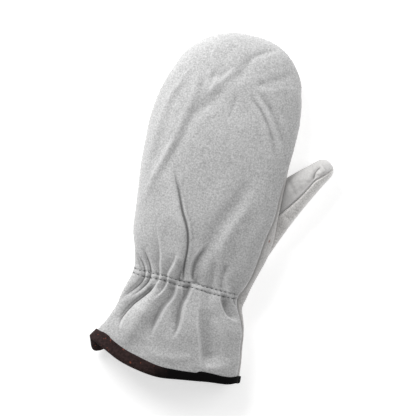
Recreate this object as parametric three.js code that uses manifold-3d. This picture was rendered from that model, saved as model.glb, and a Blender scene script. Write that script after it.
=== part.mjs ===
// A split leather work mitt for the left hand, lying on its palm with the back of the hand up.
// Millimetres: +X towards the thumb, +Y from the cuff's hem to the fingertips, +Z up.
import * as THREE from "three";
import { mergeVertices } from "three/addons/utils/BufferGeometryUtils.js";
import Module from "manifold-3d";

// Sizes of the whole mitt.
const LENGTH = 297.3; // from the lowest place of the hem to the fingertips
const HAND_WIDTH = 124.7; // across the hand, without the thumb
const THICKNESS = 44; // from palm to back where the mitt is fullest
const WALL = 2; // the leather
const SEAM_GAP = 0.3; // between pieces that are sewn together
const HEM_SWEEP = 19.2; // how far the hem's left end stands above its lowest place
const TIP_DEPTH = 33.6; // from the fingertips down to where the rounded top meets the sides
const BACK_ROUND = 46; // length over which the back comes down to the seam at the fingertips
const PALM_ROUND = 26; // length over which the palm rises to that seam
const SIDE_ROUND = 18; // how far in from the side the palm begins to rise
const WRIST_LIFT = 2.5; // how far the gathered wrist stands off the surface under it
const FOLD_DEPTH = 6; // the deepest crease
const FOLD_WIDTH = 9; // half the width of an ordinary fold

// Sizes of the binding on the hem.
const BINDING_WIDTH = 9;
const BINDING_LEATHER = 1.3;
const BINDING_SETTLE = 14; // length over which the palm comes down behind the binding

// Sizes of the thumb.
const THUMB_LENGTH = 97.5; // from its root inside the hand to its tip
const THUMB_WIDTH = 42;
const THUMB_THICKNESS = 26;
const THUMB_TIP_DEPTH = 9; // the length of its rounded tip
const THUMB_CLEARANCE = 0.3; // between the thumb and the surface under it
const THUMB_ANGLE = THREE.MathUtils.degToRad(51.5); // from the line across the hand
const THUMB_ROOT = { across: 0.57, along: 0.437 }; // shares of half the hand's width and of the length

// How full the soft forms are: the powers of their rounded sections.
const BACK_POWER = 2.3;
const BACK_FULLNESS = 0.52;
const TIP_POWER = 2.2;
const TIP_LEFT_POWER = 2.3; // the outline's round top, left and right of the middle
const TIP_RIGHT_POWER = 2.9;
const TIP_FULLNESS = 0.85;
const SEAM_ROUND = 0.5; // how steeply the panels come to the seam at the fingertips
const FOLD_EDGE_POWER = 6; // how near to the side seams the folds still run
const FOLD_TIP_SHARE = 0.05; // share of the length over which they end at the fingertips
const THUMB_POWER = 2.4;
const ROLL_STEEPNESS = 1.9; // rise of the palm's roll for each millimetre that it reaches past the back
const ROLL_END = THREE.MathUtils.degToRad(58); // where the roll stops at the back panel's edge
const HEM_REACH = 0.24; // share of the length over which the hem's sweep fades
const TIP_REACH = 0.42; // share of the length over which the rows bow towards the fingertips

// Names the columns of a table.
const table = (columns, rows) =>
  rows.map((row) => Object.fromEntries(columns.map((name, i) => [name, row[i]])));

// Sections along the mitt. The place is a share of LENGTH. The left and right edges and the back
// panel's own right edge are shares of half HAND_WIDTH, the heights shares of THICKNESS, and the
// lift a share of WRIST_LIFT.
const SECTIONS = table(
  ["at", "left", "right", "backRight", "top", "leftSeam", "rightSeam", "lift"],
  [
    [0.0, -1.156, 0.977, 0.953, 0.78, 0.38, 0.38, 0],
    [0.063, -1.118, 0.961, 0.933, 0.8, 0.38, 0.38, 0],
    [0.093, -1.036, 0.948, 0.929, 0.81, 0.38, 0.39, 0],
    [0.1335, -0.94, 0.917, 0.897, 0.83, 0.39, 0.4, 0],
    [0.174, -0.868, 0.893, 0.874, 0.83, 0.4, 0.42, 0.2],
    [0.214, -0.834, 0.839, 0.8, 0.81, 0.41, 0.44, 0.7],
    [0.241, -0.796, 0.797, 0.733, 0.79, 0.42, 0.46, 1],
    [0.2714, -0.759, 0.826, 0.714, 0.78, 0.42, 0.48, 1],
    [0.302, -0.762, 0.853, 0.778, 0.82, 0.42, 0.51, 0.7],
    [0.342, -0.808, 0.905, 0.832, 0.88, 0.41, 0.55, 0.2],
    [0.389, -0.881, 0.969, 0.864, 0.93, 0.41, 0.59, 0],
    [0.443, -0.909, 1.009, 0.893, 0.97, 0.4, 0.62, 0],
    [0.51, -0.943, 0.996, 0.951, 0.99, 0.4, 0.63, 0],
    [0.5775, -0.98, 0.99, 0.954, 1.0, 0.4, 0.62, 0],
    [0.645, -0.993, 0.985, 0.98, 1.0, 0.4, 0.56, 0],
    [0.712, -0.999, 0.999, 0.999, 0.99, 0.4, 0.48, 0],
    [0.779, -0.962, 1.002, 1.002, 0.96, 0.4, 0.42, 0],
    [0.833, -0.895, 0.97, 0.97, 0.93, 0.4, 0.4, 0],
    [0.887, -0.802, 0.913, 0.913, 0.9, 0.4, 0.4, 0],
    [1.0, -0.802, 0.913, 0.913, 0.86, 0.4, 0.4, 0],
  ],
);

// The hem across the mitt, from the left side at -1 to the right side at 1: how far it stands above
// its lowest place on the back and on the palm, as shares of HEM_SWEEP.
const HEM = table(
  ["at", "back", "palm"],
  [
    [-1, 1, 1],
    [-0.94, 0.89, 0.5],
    [-0.87, 0.78, 0.5],
    [-0.8, 0.67, 0.64],
    [-0.55, 0.3, 0.6],
    [-0.25, 0.07, 0.48],
    [0, 0, 0.42],
    [0.3, 0.12, 0.42],
    [0.65, 0.27, 0.44],
    [0.9, 0.4, 0.5],
    [1, 0.557, 0.557],
  ],
);

// Folds of the back panel, each along a path of places across (a share of half HAND_WIDTH) and along
// (a share of LENGTH). The rise is a share of FOLD_DEPTH, below nought for a crease, and the spread a
// share of FOLD_WIDTH.
const FOLDS = table(
  ["rise", "spread", "path"],
  [
    [-0.95, 0.8, [[-0.56, 0.62], [-0.47, 0.55], [-0.34, 0.5], [-0.21, 0.446], [-0.11, 0.38], [-0.08, 0.29]]],
    [0.45, 1.0, [[-0.62, 0.6], [-0.55, 0.52], [-0.42, 0.45], [-0.28, 0.39], [-0.22, 0.33]]],
    [-0.4, 1.1, [[-0.05, 0.88], [-0.28, 0.78], [-0.45, 0.7], [-0.55, 0.63]]],
    [0.3, 0.9, [[-0.5, 0.867], [-0.58, 0.75], [-0.64, 0.645], [-0.76, 0.571], [-0.82, 0.503]]],
    [-0.35, 0.6, [[-0.6, 0.86], [-0.72, 0.76], [-0.76, 0.65], [-0.82, 0.55]]],
    [-0.85, 1.0, [[0.52, 0.56], [0.33, 0.48], [0.19, 0.42], [0.05, 0.36], [0.02, 0.31]]],
    [0.4, 0.8, [[0.6, 0.55], [0.44, 0.47], [0.35, 0.4], [0.3, 0.34]]],
    [-0.35, 0.7, [[0.7, 0.53], [0.62, 0.45], [0.5, 0.37], [0.46, 0.3]]],
    [0.35, 0.9, [[0.17, 0.853], [0.46, 0.786], [0.74, 0.705], [0.84, 0.604]]],
    [-0.35, 0.8, [[0.37, 0.86], [0.61, 0.799], [0.8, 0.719], [0.88, 0.628]]],
    [-0.3, 0.7, [[0.4, 0.96], [0.17, 0.945], [0.08, 0.91], [0.02, 0.87]]],
    [-0.4, 0.7, [[0.36, 0.85], [0.45, 0.885], [0.75, 0.917]]],
    [-0.45, 0.45, [[-0.75, 0.325], [-0.66, 0.285], [-0.67, 0.25], [-0.8, 0.19]]],
    [-0.4, 0.45, [[-0.63, 0.33], [-0.55, 0.29], [-0.56, 0.25], [-0.72, 0.2]]],
    [-0.6, 0.5, [[-0.63, 0.389], [-0.5, 0.33], [-0.44, 0.27], [-0.52, 0.225], [-0.74, 0.164]]],
    [-0.45, 0.5, [[-0.33, 0.35], [-0.3, 0.29], [-0.33, 0.24], [-0.46, 0.205]]],
    [-0.65, 0.55, [[-0.13, 0.33], [-0.16, 0.27], [-0.24, 0.21], [-0.33, 0.14], [-0.39, 0.08]]],
    [-0.45, 0.55, [[0.02, 0.34], [0.05, 0.27], [-0.01, 0.2], [-0.04, 0.13]]],
    [-0.55, 0.5, [[0.19, 0.355], [0.2, 0.28], [0.24, 0.21], [0.34, 0.14], [0.45, 0.075]]],
    [0.35, 0.4, [[0.16, 0.23], [0.2, 0.18], [0.32, 0.12], [0.4, 0.07]]],
    [-0.65, 0.45, [[0.45, 0.32], [0.45, 0.27], [0.52, 0.23], [0.7, 0.212]]],
    [-0.35, 0.4, [[0.6, 0.32], [0.63, 0.27], [0.76, 0.24]]],
    [0.55, 1.0, [[-0.37, 0.26], [-0.55, 0.21], [-0.72, 0.147], [-0.74, 0.09]]],
    [0.3, 1.0, [[-0.06, 0.26], [-0.18, 0.19], [-0.26, 0.12]]],
    [0.25, 0.9, [[0.5, 0.17], [0.62, 0.12], [0.7, 0.07]]],
  ],
);

// Sections of the thumb from root to tip: its two sides as shares of THUMB_WIDTH off its own line,
// the side to the fingers first, and its underside and top as shares of THUMB_THICKNESS.
const THUMB_SECTIONS = table(
  ["at", "fingerSide", "outerSide", "under", "top"],
  [
    [0.0, 0.38, -0.69, 0.12, 0.5],
    [0.082, 0.43, -0.638, 0.12, 0.58],
    [0.246, 0.452, -0.526, 0.12, 0.7],
    [0.42, 0.43, -0.414, 0.09, 0.92],
    [0.626, 0.362, -0.305, 0.03, 1.0],
    [0.78, 0.307, -0.236, 0, 0.96],
    [0.9, 0.255, -0.19, 0, 0.9],
    [1.0, 0.23, -0.16, 0, 0.86],
  ],
);

// The seam between the thumb's two pieces, in the same shares, run past both ends of the thumb.
const THUMB_SEAM = table(
  ["at", "off"],
  [
    [-0.2, -0.13],
    [0.36, -0.12],
    [0.48, -0.125],
    [0.61, -0.107],
    [0.72, -0.069],
    [0.8, -0.04],
    [0.87, -0.067],
    [0.95, -0.081],
    [1.2, -0.09],
  ],
);

// Rows of vertices along the mitt and columns across it: how many fall in each stretch.
const BACK_ROWS = table(
  ["to", "count"],
  [
    [0.19, 8],
    [0.36, 10],
    [0.82, 12],
    [1.0, 8],
  ],
);
const PALM_ROWS = table(
  ["to", "count"],
  [
    [0.07, 3],
    [0.36, 8],
    [0.7, 9],
    [0.9, 3],
    [1.0, 6],
  ],
);
const BACK_COLUMNS = 38;
const PALM_SIDE_COLUMNS = 6;
const PALM_FLAT_COLUMNS = 7;
const THUMB_COLUMNS = 24;
const THUMB_ROWS = 12;
const THUMB_TIP_ROWS = 4;

const QUARTER = Math.PI / 2;
const BINDING_REACH = BINDING_LEATHER + SEAM_GAP; // how far the binding stands off the leather it covers
const clamp = THREE.MathUtils.clamp;
const mix = THREE.MathUtils.lerp;
const smooth = (value, from, to) => THREE.MathUtils.smoothstep(value, from, to);

// Reads a column of a table at any place, on a smooth curve through the rows.
function read(rows, column, place) {
  const at = clamp(place, rows[0].at, rows[rows.length - 1].at);
  let i = 0;
  while (i < rows.length - 2 && rows[i + 1].at < at) i++;
  const slope = (k) => {
    const before = rows[Math.max(0, k - 1)];
    const after = rows[Math.min(rows.length - 1, k + 1)];
    return (after[column] - before[column]) / (after.at - before.at);
  };
  const span = rows[i + 1].at - rows[i].at;
  const u = (at - rows[i].at) / span;
  const straight = mix(rows[i][column], rows[i + 1][column], u * u * (3 - 2 * u));
  return straight + span * u * (1 - u) * ((1 - u) * slope(i) - u * slope(i + 1));
}

// Places from the start to 1 along a table of stretches, closer together at the fingertips.
function stretchPlaces(stretches, start) {
  const places = [start];
  let from = start;
  for (const { to, count } of stretches) {
    for (let k = 1; k <= count; k++) {
      const share = to === 1 ? Math.sin((k / count) * QUARTER) : k / count;
      places.push(mix(from, to, share));
    }
    from = to;
  }
  return places;
}

// The height left at a share of the way to a rounded edge: 1 inside, 0 at the edge.
const rounded = (share, power, fullness) =>
  Math.pow(Math.max(0, 1 - Math.pow(clamp(share, 0, 1), power)), fullness);

// The y of a place on the mitt. Rows sweep with the hem at the cuff and bow round the fingertips.
function placeAlong(side, across, along, inset) {
  const hem = HEM_SWEEP * read(HEM, side, across) * (1 - smooth(along, 0, HEM_REACH));
  const bow = Math.pow(Math.max(0, 1 - (1 - along) / TIP_REACH), 2);
  const power = across < 0 ? TIP_LEFT_POWER : TIP_RIGHT_POWER;
  const drop = TIP_DEPTH * (1 - rounded(Math.abs(across), power, TIP_FULLNESS));
  return LENGTH * along + hem - (drop + inset) * bow;
}

// The edges and seam heights of the row at a place along the mitt.
function rowAt(along) {
  const half = HAND_WIDTH / 2;
  const leftAt = placeAlong("back", -1, along, 0) / LENGTH;
  const rightAt = placeAlong("back", 1, along, 0) / LENGTH;
  return {
    left: half * read(SECTIONS, "left", leftAt),
    right: half * read(SECTIONS, "right", rightAt),
    backRight: half * read(SECTIONS, "backRight", rightAt),
    top: THICKNESS * read(SECTIONS, "top", along),
    leftSeam: THICKNESS * read(SECTIONS, "leftSeam", along),
    rightSeam: THICKNESS * read(SECTIONS, "rightSeam", along),
    floor:
      WRIST_LIFT * Math.max(0, read(SECTIONS, "lift", along)) +
      BINDING_REACH * (1 - smooth(LENGTH * along, BINDING_WIDTH, BINDING_WIDTH + BINDING_SETTLE)),
  };
}

// How far the folds raise the back panel at a place in plan.
function foldRise(x, y) {
  let rise = 0;
  for (const fold of FOLDS) {
    const path = fold.path.map(([across, along]) => [(across * HAND_WIDTH) / 2, along * LENGTH]);
    const spans = path.length - 1;
    let nearest = Infinity;
    let share = 0;
    for (let i = 0; i < spans; i++) {
      const [ax, ay] = path[i];
      const dx = path[i + 1][0] - ax;
      const dy = path[i + 1][1] - ay;
      const u = clamp(((x - ax) * dx + (y - ay) * dy) / (dx * dx + dy * dy), 0, 1);
      const away = Math.hypot(x - ax - u * dx, y - ay - u * dy);
      if (away < nearest) {
        nearest = away;
        share = (i + u) / spans;
      }
    }
    const fade = smooth(share, -0.05, 0.25) * (1 - smooth(share, 0.75, 1.05));
    const spread = fold.spread * FOLD_WIDTH;
    rise += fold.rise * FOLD_DEPTH * fade * Math.exp(-((nearest / spread) ** 2));
  }
  return rise;
}

// A place on the back panel without its folds, at an inset from its outer face.
function plainBack(across, along, inset, seamShift) {
  const row = rowAt(along);
  const share = (across + 1) / 2;
  const seam = mix(row.leftSeam, row.rightSeam, share) + seamShift;
  const tip = rounded(1 - (1 - along) / (BACK_ROUND / LENGTH), TIP_POWER, SEAM_ROUND);
  const dome = rounded(Math.abs(across), BACK_POWER, BACK_FULLNESS) * tip;
  return new THREE.Vector3(
    mix(row.left + inset, row.backRight - inset, share),
    placeAlong("back", across, along, inset),
    seam + (row.top - inset - seam) * dome,
  );
}

// A place on the back panel. A fold moves both faces of the leather by the same way.
function backPoint(across, along, inset, seamShift = 0) {
  const step = 0.002; // of the way across or along, to find which way the surface faces
  const base = plainBack(across, along, 0, seamShift);
  const sideways = plainBack(clamp(across + step, -1, 1), along, 0, seamShift);
  sideways.sub(plainBack(clamp(across - step, -1, 1), along, 0, seamShift));
  const lengthways = plainBack(across, clamp(along + step, 0, 1), 0, seamShift);
  lengthways.sub(plainBack(across, clamp(along - step, 0, 1), 0, seamShift));
  const out = sideways.cross(lengthways).normalize();
  const side = rounded(Math.abs(across), FOLD_EDGE_POWER, 1);
  const tip = rounded(1 - (1 - along) / FOLD_TIP_SHARE, 2, 1);
  const rise = foldRise(base.x, base.y) * side * tip;
  return plainBack(across, along, inset, seamShift).addScaledVector(out, rise);
}

// A place on the palm panel, from the thumb side's seam at 0, round under the hand, to the left seam
// at 1. On the thumb side the leather rolls up past the back panel's edge before it meets the seam.
const PALM_SIDE = PALM_SIDE_COLUMNS / (2 * PALM_SIDE_COLUMNS + PALM_FLAT_COLUMNS);
function palmPoint(around, along, inset, seamShift = 0) {
  const row = rowAt(along);
  const floor = row.floor + inset;
  const leftSeam = row.leftSeam + seamShift;
  const rightSeam = row.rightSeam + seamShift;
  const bend = SIDE_ROUND - inset;
  const left = row.left + inset;
  const right = row.right - inset;
  let x;
  let z;
  let onSeamSide = false;
  if (around < PALM_SIDE) {
    const share = 1 - around / PALM_SIDE;
    const reach = row.right - row.backRight;
    const roll = Math.min(ROLL_STEEPNESS * reach, 0.6 * (rightSeam - floor));
    const widest = rightSeam - roll;
    const lower = bend + widest - floor;
    const turn = lower / (lower + reach + roll);
    if (share <= turn) {
      const angle = (share / turn) * QUARTER;
      x = right - bend * (1 - Math.sin(angle));
      z = floor + (widest - floor) * (1 - Math.cos(angle));
    } else {
      const angle = ((share - turn) / (1 - turn)) * ROLL_END;
      x = right - (reach * (1 - Math.cos(angle))) / (1 - Math.cos(ROLL_END));
      z = widest + (roll * Math.sin(angle)) / Math.sin(ROLL_END);
      onSeamSide = true;
    }
  } else if (around > 1 - PALM_SIDE) {
    const angle = (1 - (1 - around) / PALM_SIDE) * QUARTER;
    x = left + bend * (1 - Math.sin(angle));
    z = floor + (leftSeam - floor) * (1 - Math.cos(angle));
  } else {
    const share = (around - PALM_SIDE) / (1 - 2 * PALM_SIDE);
    x = mix(right - bend, left + bend, share);
    z = floor;
  }
  const share = onSeamSide ? 1 : clamp((x - left) / (right - left), 0, 1);
  const seam = mix(leftSeam, rightSeam, share);
  const tip = rounded(1 - (1 - along) / (PALM_ROUND / LENGTH), TIP_POWER, SEAM_ROUND);
  const y = placeAlong("palm", 2 * share - 1, along, inset);
  return new THREE.Vector3(x, y, mix(seam, z, tip));
}

// Adds a quad of four points as two triangles that meet on its shorter diagonal.
function addQuad(points, faces, a, b, c, d) {
  if (points[a].distanceTo(points[c]) < points[b].distanceTo(points[d])) {
    faces.push(a, b, c, a, c, d);
  } else {
    faces.push(a, b, d, b, c, d);
  }
}

// One closed sheet of leather from its outer face and its inner face, each a grid of rows of points.
function sheet(outer, inner) {
  const rows = outer.length;
  const columns = outer[0].length;
  const points = [...outer.flat(), ...inner.flat()];
  const faces = [];
  const outside = (j, i) => j * columns + i;
  const inside = (j, i) => rows * columns + j * columns + i;
  const quad = (a, b, c, d) => addQuad(points, faces, a, b, c, d);
  for (let j = 0; j < rows - 1; j++) {
    for (let i = 0; i < columns - 1; i++) {
      quad(outside(j, i), outside(j, i + 1), outside(j + 1, i + 1), outside(j + 1, i));
      quad(inside(j, i), inside(j + 1, i), inside(j + 1, i + 1), inside(j, i + 1));
    }
    quad(outside(j, 0), outside(j + 1, 0), inside(j + 1, 0), inside(j, 0));
    const end = columns - 1;
    quad(outside(j, end), inside(j, end), inside(j + 1, end), outside(j + 1, end));
  }
  for (let i = 0; i < columns - 1; i++) {
    quad(outside(0, i), inside(0, i), inside(0, i + 1), outside(0, i + 1));
    const end = rows - 1;
    quad(outside(end, i), outside(end, i + 1), inside(end, i + 1), inside(end, i));
  }
  return toGeometry(points, faces);
}

// A closed body from rings of points, with a fan over each end.
function tube(rings) {
  const columns = rings[0].length;
  const points = rings.flat();
  const faces = [];
  for (let j = 0; j < rings.length - 1; j++) {
    for (let i = 0; i < columns; i++) {
      const next = (i + 1) % columns;
      const start = j * columns;
      addQuad(points, faces, start + i, start + next, start + columns + next, start + columns + i);
    }
  }
  const centre = (ring) => ring.reduce((sum, p) => sum.add(p), new THREE.Vector3()).divideScalar(columns);
  const start = points.push(centre(rings[0])) - 1;
  const end = points.push(centre(rings[rings.length - 1])) - 1;
  const last = (rings.length - 1) * columns;
  for (let i = 0; i < columns; i++) {
    const next = (i + 1) % columns;
    faces.push(start, next, i);
    faces.push(end, last + i, last + next);
  }
  return toGeometry(points, faces);
}

function toGeometry(points, faces) {
  const geometry = new THREE.BufferGeometry().setFromPoints(points);
  geometry.setIndex(faces);
  return geometry;
}

const wasm = await Module();
wasm.setup();

function toSolid(geometry) {
  const bare = geometry.clone();
  bare.deleteAttribute("normal");
  bare.deleteAttribute("uv");
  const merged = mergeVertices(bare, 1e-4);
  return new wasm.Manifold(
    new wasm.Mesh({
      numProp: 3,
      vertProperties: merged.attributes.position.array,
      triVerts: new Uint32Array(merged.index.array),
    }),
  );
}

function fromSolid(solid) {
  const mesh = solid.getMesh();
  const geometry = new THREE.BufferGeometry();
  geometry.setAttribute("position", new THREE.BufferAttribute(mesh.vertProperties, mesh.numProp));
  geometry.setIndex(new THREE.BufferAttribute(mesh.triVerts, 1));
  return geometry;
}

const shares = (count) => Array.from({ length: count + 1 }, (_, i) => i / count);
// Places across the back from -1 to 1, closer together where it turns down to the sides.
const backPlaces = (count) =>
  shares(count).map((share) => {
    const place = 2 * share - 1;
    return mix(place, Math.sin(place * QUARTER), 0.45);
  });
const rimAlong = BINDING_REACH / LENGTH;

function backPanel() {
  const rows = stretchPlaces(BACK_ROWS, rimAlong);
  const face = (inset) =>
    rows.map((along) =>
      backPlaces(BACK_COLUMNS).map((across) => backPoint(across, along, inset, SEAM_GAP / 2)),
    );
  return sheet(face(0), face(WALL));
}

const palmPlaces = shares(2 * PALM_SIDE_COLUMNS + PALM_FLAT_COLUMNS);

function palmSheet() {
  const rows = stretchPlaces(PALM_ROWS, rimAlong);
  const face = (inset) =>
    rows.map((along) => palmPlaces.map((around) => palmPoint(around, along, inset, -SEAM_GAP / 2)));
  return sheet(face(0), face(WALL));
}

// The whole body of the hand grown by the seam's gap, over the stretch where the thumb joins it. It
// has the palm's own rows, so that the thumb fits the palm's faceted side.
function handBody() {
  const joined = stretchPlaces(PALM_ROWS, rimAlong).filter((along) => along > 0.25 && along < 0.85);
  const rings = joined.map((along) => {
    const back = backPlaces(BACK_COLUMNS).map((across) => backPoint(across, along, -SEAM_GAP));
    const palm = palmPlaces.map((around) => palmPoint(around, along, -SEAM_GAP));
    return [...palm.slice(1, -1), ...back];
  });
  return tube(rings);
}

// The binding folded over the hem: a U section carried round the whole rim.
function cuffBinding() {
  const top = BINDING_WIDTH / LENGTH;
  const outside = -BINDING_REACH;
  const inside = WALL + BINDING_REACH;
  const section = [
    [outside, 0],
    [outside, top],
    [-SEAM_GAP, top],
    [-SEAM_GAP, BINDING_LEATHER / LENGTH],
    [WALL + SEAM_GAP, BINDING_LEATHER / LENGTH],
    [WALL + SEAM_GAP, top],
    [inside, top],
    [inside, 0],
  ];
  const ring = (pointAt, place) => section.map(([inset, along]) => pointAt(place, along, inset));
  const rings = [
    ...backPlaces(BACK_COLUMNS).map((across) => ring(backPoint, across)),
    ...palmPlaces.slice(1, -1).map((around) => ring(palmPoint, around)),
  ];
  const points = rings.flat();
  const faces = [];
  for (let j = 0; j < rings.length; j++) {
    for (let i = 0; i < section.length; i++) {
      const next = (i + 1) % section.length;
      const after = (j + 1) % rings.length;
      const start = j * section.length;
      const end = after * section.length;
      addQuad(points, faces, start + next, start + i, end + i, end + next);
    }
  }
  return toGeometry(points, faces);
}

const thumbRoot = new THREE.Vector3((THUMB_ROOT.across * HAND_WIDTH) / 2, THUMB_ROOT.along * LENGTH, 0);
const thumbLine = new THREE.Vector3(Math.cos(THUMB_ANGLE), Math.sin(THUMB_ANGLE), 0);
const thumbFingerSide = new THREE.Vector3(-thumbLine.y, thumbLine.x, 0);

// A place in the thumb's own frame: along its line, off to the finger side, and up.
const thumbPlace = (along, off, up) =>
  thumbRoot
    .clone()
    .addScaledVector(thumbLine, along)
    .addScaledVector(thumbFingerSide, off)
    .setZ(up);

// The thumb as a solid of soft round sections, at an inset from its outer face.
function thumbBody(inset) {
  const tipStart = 1 - THUMB_TIP_DEPTH / THUMB_LENGTH;
  const straight = shares(THUMB_ROWS).map((share) => ({ at: share * tipStart, full: 1 }));
  const tip = shares(THUMB_TIP_ROWS)
    .slice(1)
    .map((share) => {
      const turn = Math.sin(share * QUARTER * 0.97);
      return { at: mix(tipStart, 1, turn), full: rounded(turn, THUMB_POWER, 1 / THUMB_POWER) };
    });
  const rings = [...straight, ...tip].map(({ at, full }) => {
    const fingerSide = THUMB_WIDTH * read(THUMB_SECTIONS, "fingerSide", at) - inset;
    const outerSide = THUMB_WIDTH * read(THUMB_SECTIONS, "outerSide", at) + inset;
    const under = THUMB_CLEARANCE + THUMB_THICKNESS * read(THUMB_SECTIONS, "under", at) + inset;
    const top = THUMB_THICKNESS * read(THUMB_SECTIONS, "top", at) - inset;
    const middle = (fingerSide + outerSide) / 2;
    const halfWidth = ((fingerSide - outerSide) / 2) * full;
    const height = (under + top) / 2;
    const halfHeight = ((top - under) / 2) * full;
    return shares(THUMB_COLUMNS)
      .slice(0, -1)
      .map((share) => {
        const angle = share * 4 * QUARTER;
        const wide = Math.cos(angle);
        const high = Math.sin(angle);
        const soft = 2 / THUMB_POWER;
        return thumbPlace(
          at * (THUMB_LENGTH - inset),
          middle + halfWidth * Math.sign(wide) * Math.abs(wide) ** soft,
          height + halfHeight * Math.sign(high) * Math.abs(high) ** soft,
        );
      });
  });
  return tube(rings);
}

// Everything on the finger side of the thumb's seam, as a tall block in plan.
function fingerSideBlock(shift) {
  const inPlan = (at, off) => thumbPlace(at * THUMB_LENGTH, off, 0);
  const outline = THUMB_SEAM.map(({ at, off }) => inPlan(at, off * THUMB_WIDTH + shift));
  const first = THUMB_SEAM[0].at;
  const last = THUMB_SEAM[THUMB_SEAM.length - 1].at;
  const ends = [inPlan(last, THUMB_WIDTH), inPlan(first, THUMB_WIDTH)];
  const shape = new THREE.Shape([...outline, ...ends].map((p) => new THREE.Vector2(p.x, p.y)));
  const block = new THREE.ExtrudeGeometry(shape, { depth: 2 * THICKNESS, bevelEnabled: false });
  return block.translate(0, 0, -THICKNESS / 2);
}

const leather = (color, roughness) => new THREE.MeshStandardMaterial({ color, roughness, metalness: 0 });

function piece(name, geometry, material) {
  const mesh = new THREE.Mesh(geometry, material);
  mesh.name = name;
  return mesh;
}

const thumbCavity = toSolid(thumbBody(WALL));
const thumbSkin = toSolid(thumbBody(0)).subtract(thumbCavity).subtract(toSolid(handBody()));
const palm = toSolid(palmSheet()).subtract(thumbCavity);
const thumbInner = thumbSkin.intersect(toSolid(fingerSideBlock(SEAM_GAP / 2)));
const thumbOuter = thumbSkin.subtract(toSolid(fingerSideBlock(-SEAM_GAP / 2)));

const mitt = new THREE.Group();
mitt.add(
  piece("back_panel", backPanel(), leather(0xbdb9b4, 0.95)),
  piece("palm_panel", fromSolid(palm), leather(0xa9a39c, 0.97)),
  piece("thumb_inner", fromSolid(thumbInner), leather(0xb6b2ac, 0.93)),
  piece("thumb_outer", fromSolid(thumbOuter), leather(0xa5a09a, 0.98)),
  piece("cuff_binding", cuffBinding(), leather(0x2e2624, 0.96)),
);

// The origin is under the middle of the mitt, on the surface that it lies on.
const bounds = new THREE.Box3().setFromObject(mitt);
const middle = bounds.getCenter(new THREE.Vector3());
mitt.position.set(-middle.x, -middle.y, -bounds.min.z);

export default mitt;
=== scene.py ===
"""Looks of a split leather work mitt: napped panels with folds and seams, wrist stitching and a bound cuff.

Shapes are worked out in the mitt's own chart, in millimetres: x across the hand from its middle towards the
thumb, y along the mitt from the lowest place of the hem, z up from the surface that the mitt lies on.
A size that is a pair of numbers gives the two places between which something grows or fades, unless its class
says otherwise.
"""

import logging
from dataclasses import dataclass
from enum import Enum

import bmesh
import bpy
import numpy as np
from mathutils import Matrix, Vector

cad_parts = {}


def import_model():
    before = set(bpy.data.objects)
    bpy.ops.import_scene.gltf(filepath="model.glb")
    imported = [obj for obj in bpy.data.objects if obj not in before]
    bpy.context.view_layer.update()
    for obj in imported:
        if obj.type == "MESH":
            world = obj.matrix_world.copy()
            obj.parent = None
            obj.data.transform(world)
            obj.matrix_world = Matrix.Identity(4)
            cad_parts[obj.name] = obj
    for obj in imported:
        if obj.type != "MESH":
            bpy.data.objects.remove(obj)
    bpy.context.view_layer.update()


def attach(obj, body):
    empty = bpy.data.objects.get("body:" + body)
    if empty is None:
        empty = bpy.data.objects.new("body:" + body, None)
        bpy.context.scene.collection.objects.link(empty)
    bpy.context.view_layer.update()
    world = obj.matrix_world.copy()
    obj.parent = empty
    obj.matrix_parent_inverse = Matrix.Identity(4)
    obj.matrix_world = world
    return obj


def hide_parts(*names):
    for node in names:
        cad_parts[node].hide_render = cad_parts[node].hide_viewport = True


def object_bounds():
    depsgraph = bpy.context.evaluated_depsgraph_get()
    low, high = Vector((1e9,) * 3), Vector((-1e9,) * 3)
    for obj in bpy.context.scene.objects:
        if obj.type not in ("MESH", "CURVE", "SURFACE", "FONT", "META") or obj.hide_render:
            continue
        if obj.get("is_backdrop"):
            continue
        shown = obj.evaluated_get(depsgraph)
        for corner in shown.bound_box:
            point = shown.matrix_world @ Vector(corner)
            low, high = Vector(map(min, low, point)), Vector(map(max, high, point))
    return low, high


Array = np.ndarray
Point = tuple[float, float]
log = logging.getLogger("mitt")

METRES = 0.001  # metres in a millimetre
QUARTER = np.pi / 2
MIDDLE = (13.7755, 148.65)  # the frame's origin in the mitt's chart
WRIST = (-1.1, 51.7)  # the place in the chart that the fold, seam and stitch paths are measured from
TINY = 1e-6  # keeps a division clear of nought
LEAST_NORMAL = 1e-9  # the shortest normal that is divided by its length
LEAST_TURN = 1e-3  # how near to half a turn the thumb's seam counts as having passed the tip
MERGE_DISTANCE = 0.01  # vertices closer than this are one, in millimetres
SIDE_CROWDING = 0.6  # how far columns move together towards a panel's sides
RIPPLE_STRETCH = (0.7, 1.5)  # shortest and longest wave of a ripple, in wavelengths
RIPPLE_PEAK = 1.2  # brings the sum of a ripple's waves to about -1 to 1
CREASE_POWER = 1.15  # how sharp the middle of a crease is
STEP_POWER = 1.1  # how sharply a step leaves its path
FADE_MARGIN = 0.04  # how far past its path's ends a fold fades, in shares of the path's length
BINDING_HOLD = 8.0  # keeps a seam from drawing in under the binding, in millimetres
BINDING_END = (0.03, 0.06)  # shares of the length over which the binding lets go of the seams
SEAM_ROLL = (0.25, 0.0, 1.3)  # a seam is drawn in against this where the palm rolls over the top
LEAST_LEVEL = 0.2  # the least level share of a normal that a seam's shift is scaled up from
PUCKER_REACH = 5.0  # distance from a seam over which its puckers fade, in millimetres
PUCKER_START = 0.8  # distance from a seam at which they begin
WEAR_CELLS = 3  # cells over which the surface's bend is taken


def rounded(share: Array, power: float, fullness: float) -> Array:
    """Height of a rounded edge: one inside, falling to nought where the share reaches one.

    Args:
        share: How far the place is on its way to the edge, from 0 to 1.
        power: How long the middle stays level.
        fullness: How steeply the edge comes down.

    Returns:
        (1 - share ** power) ** fullness, for each place.
    """
    return np.maximum(0.0, 1.0 - np.clip(share, 0.0, 1.0) ** power) ** fullness


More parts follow.
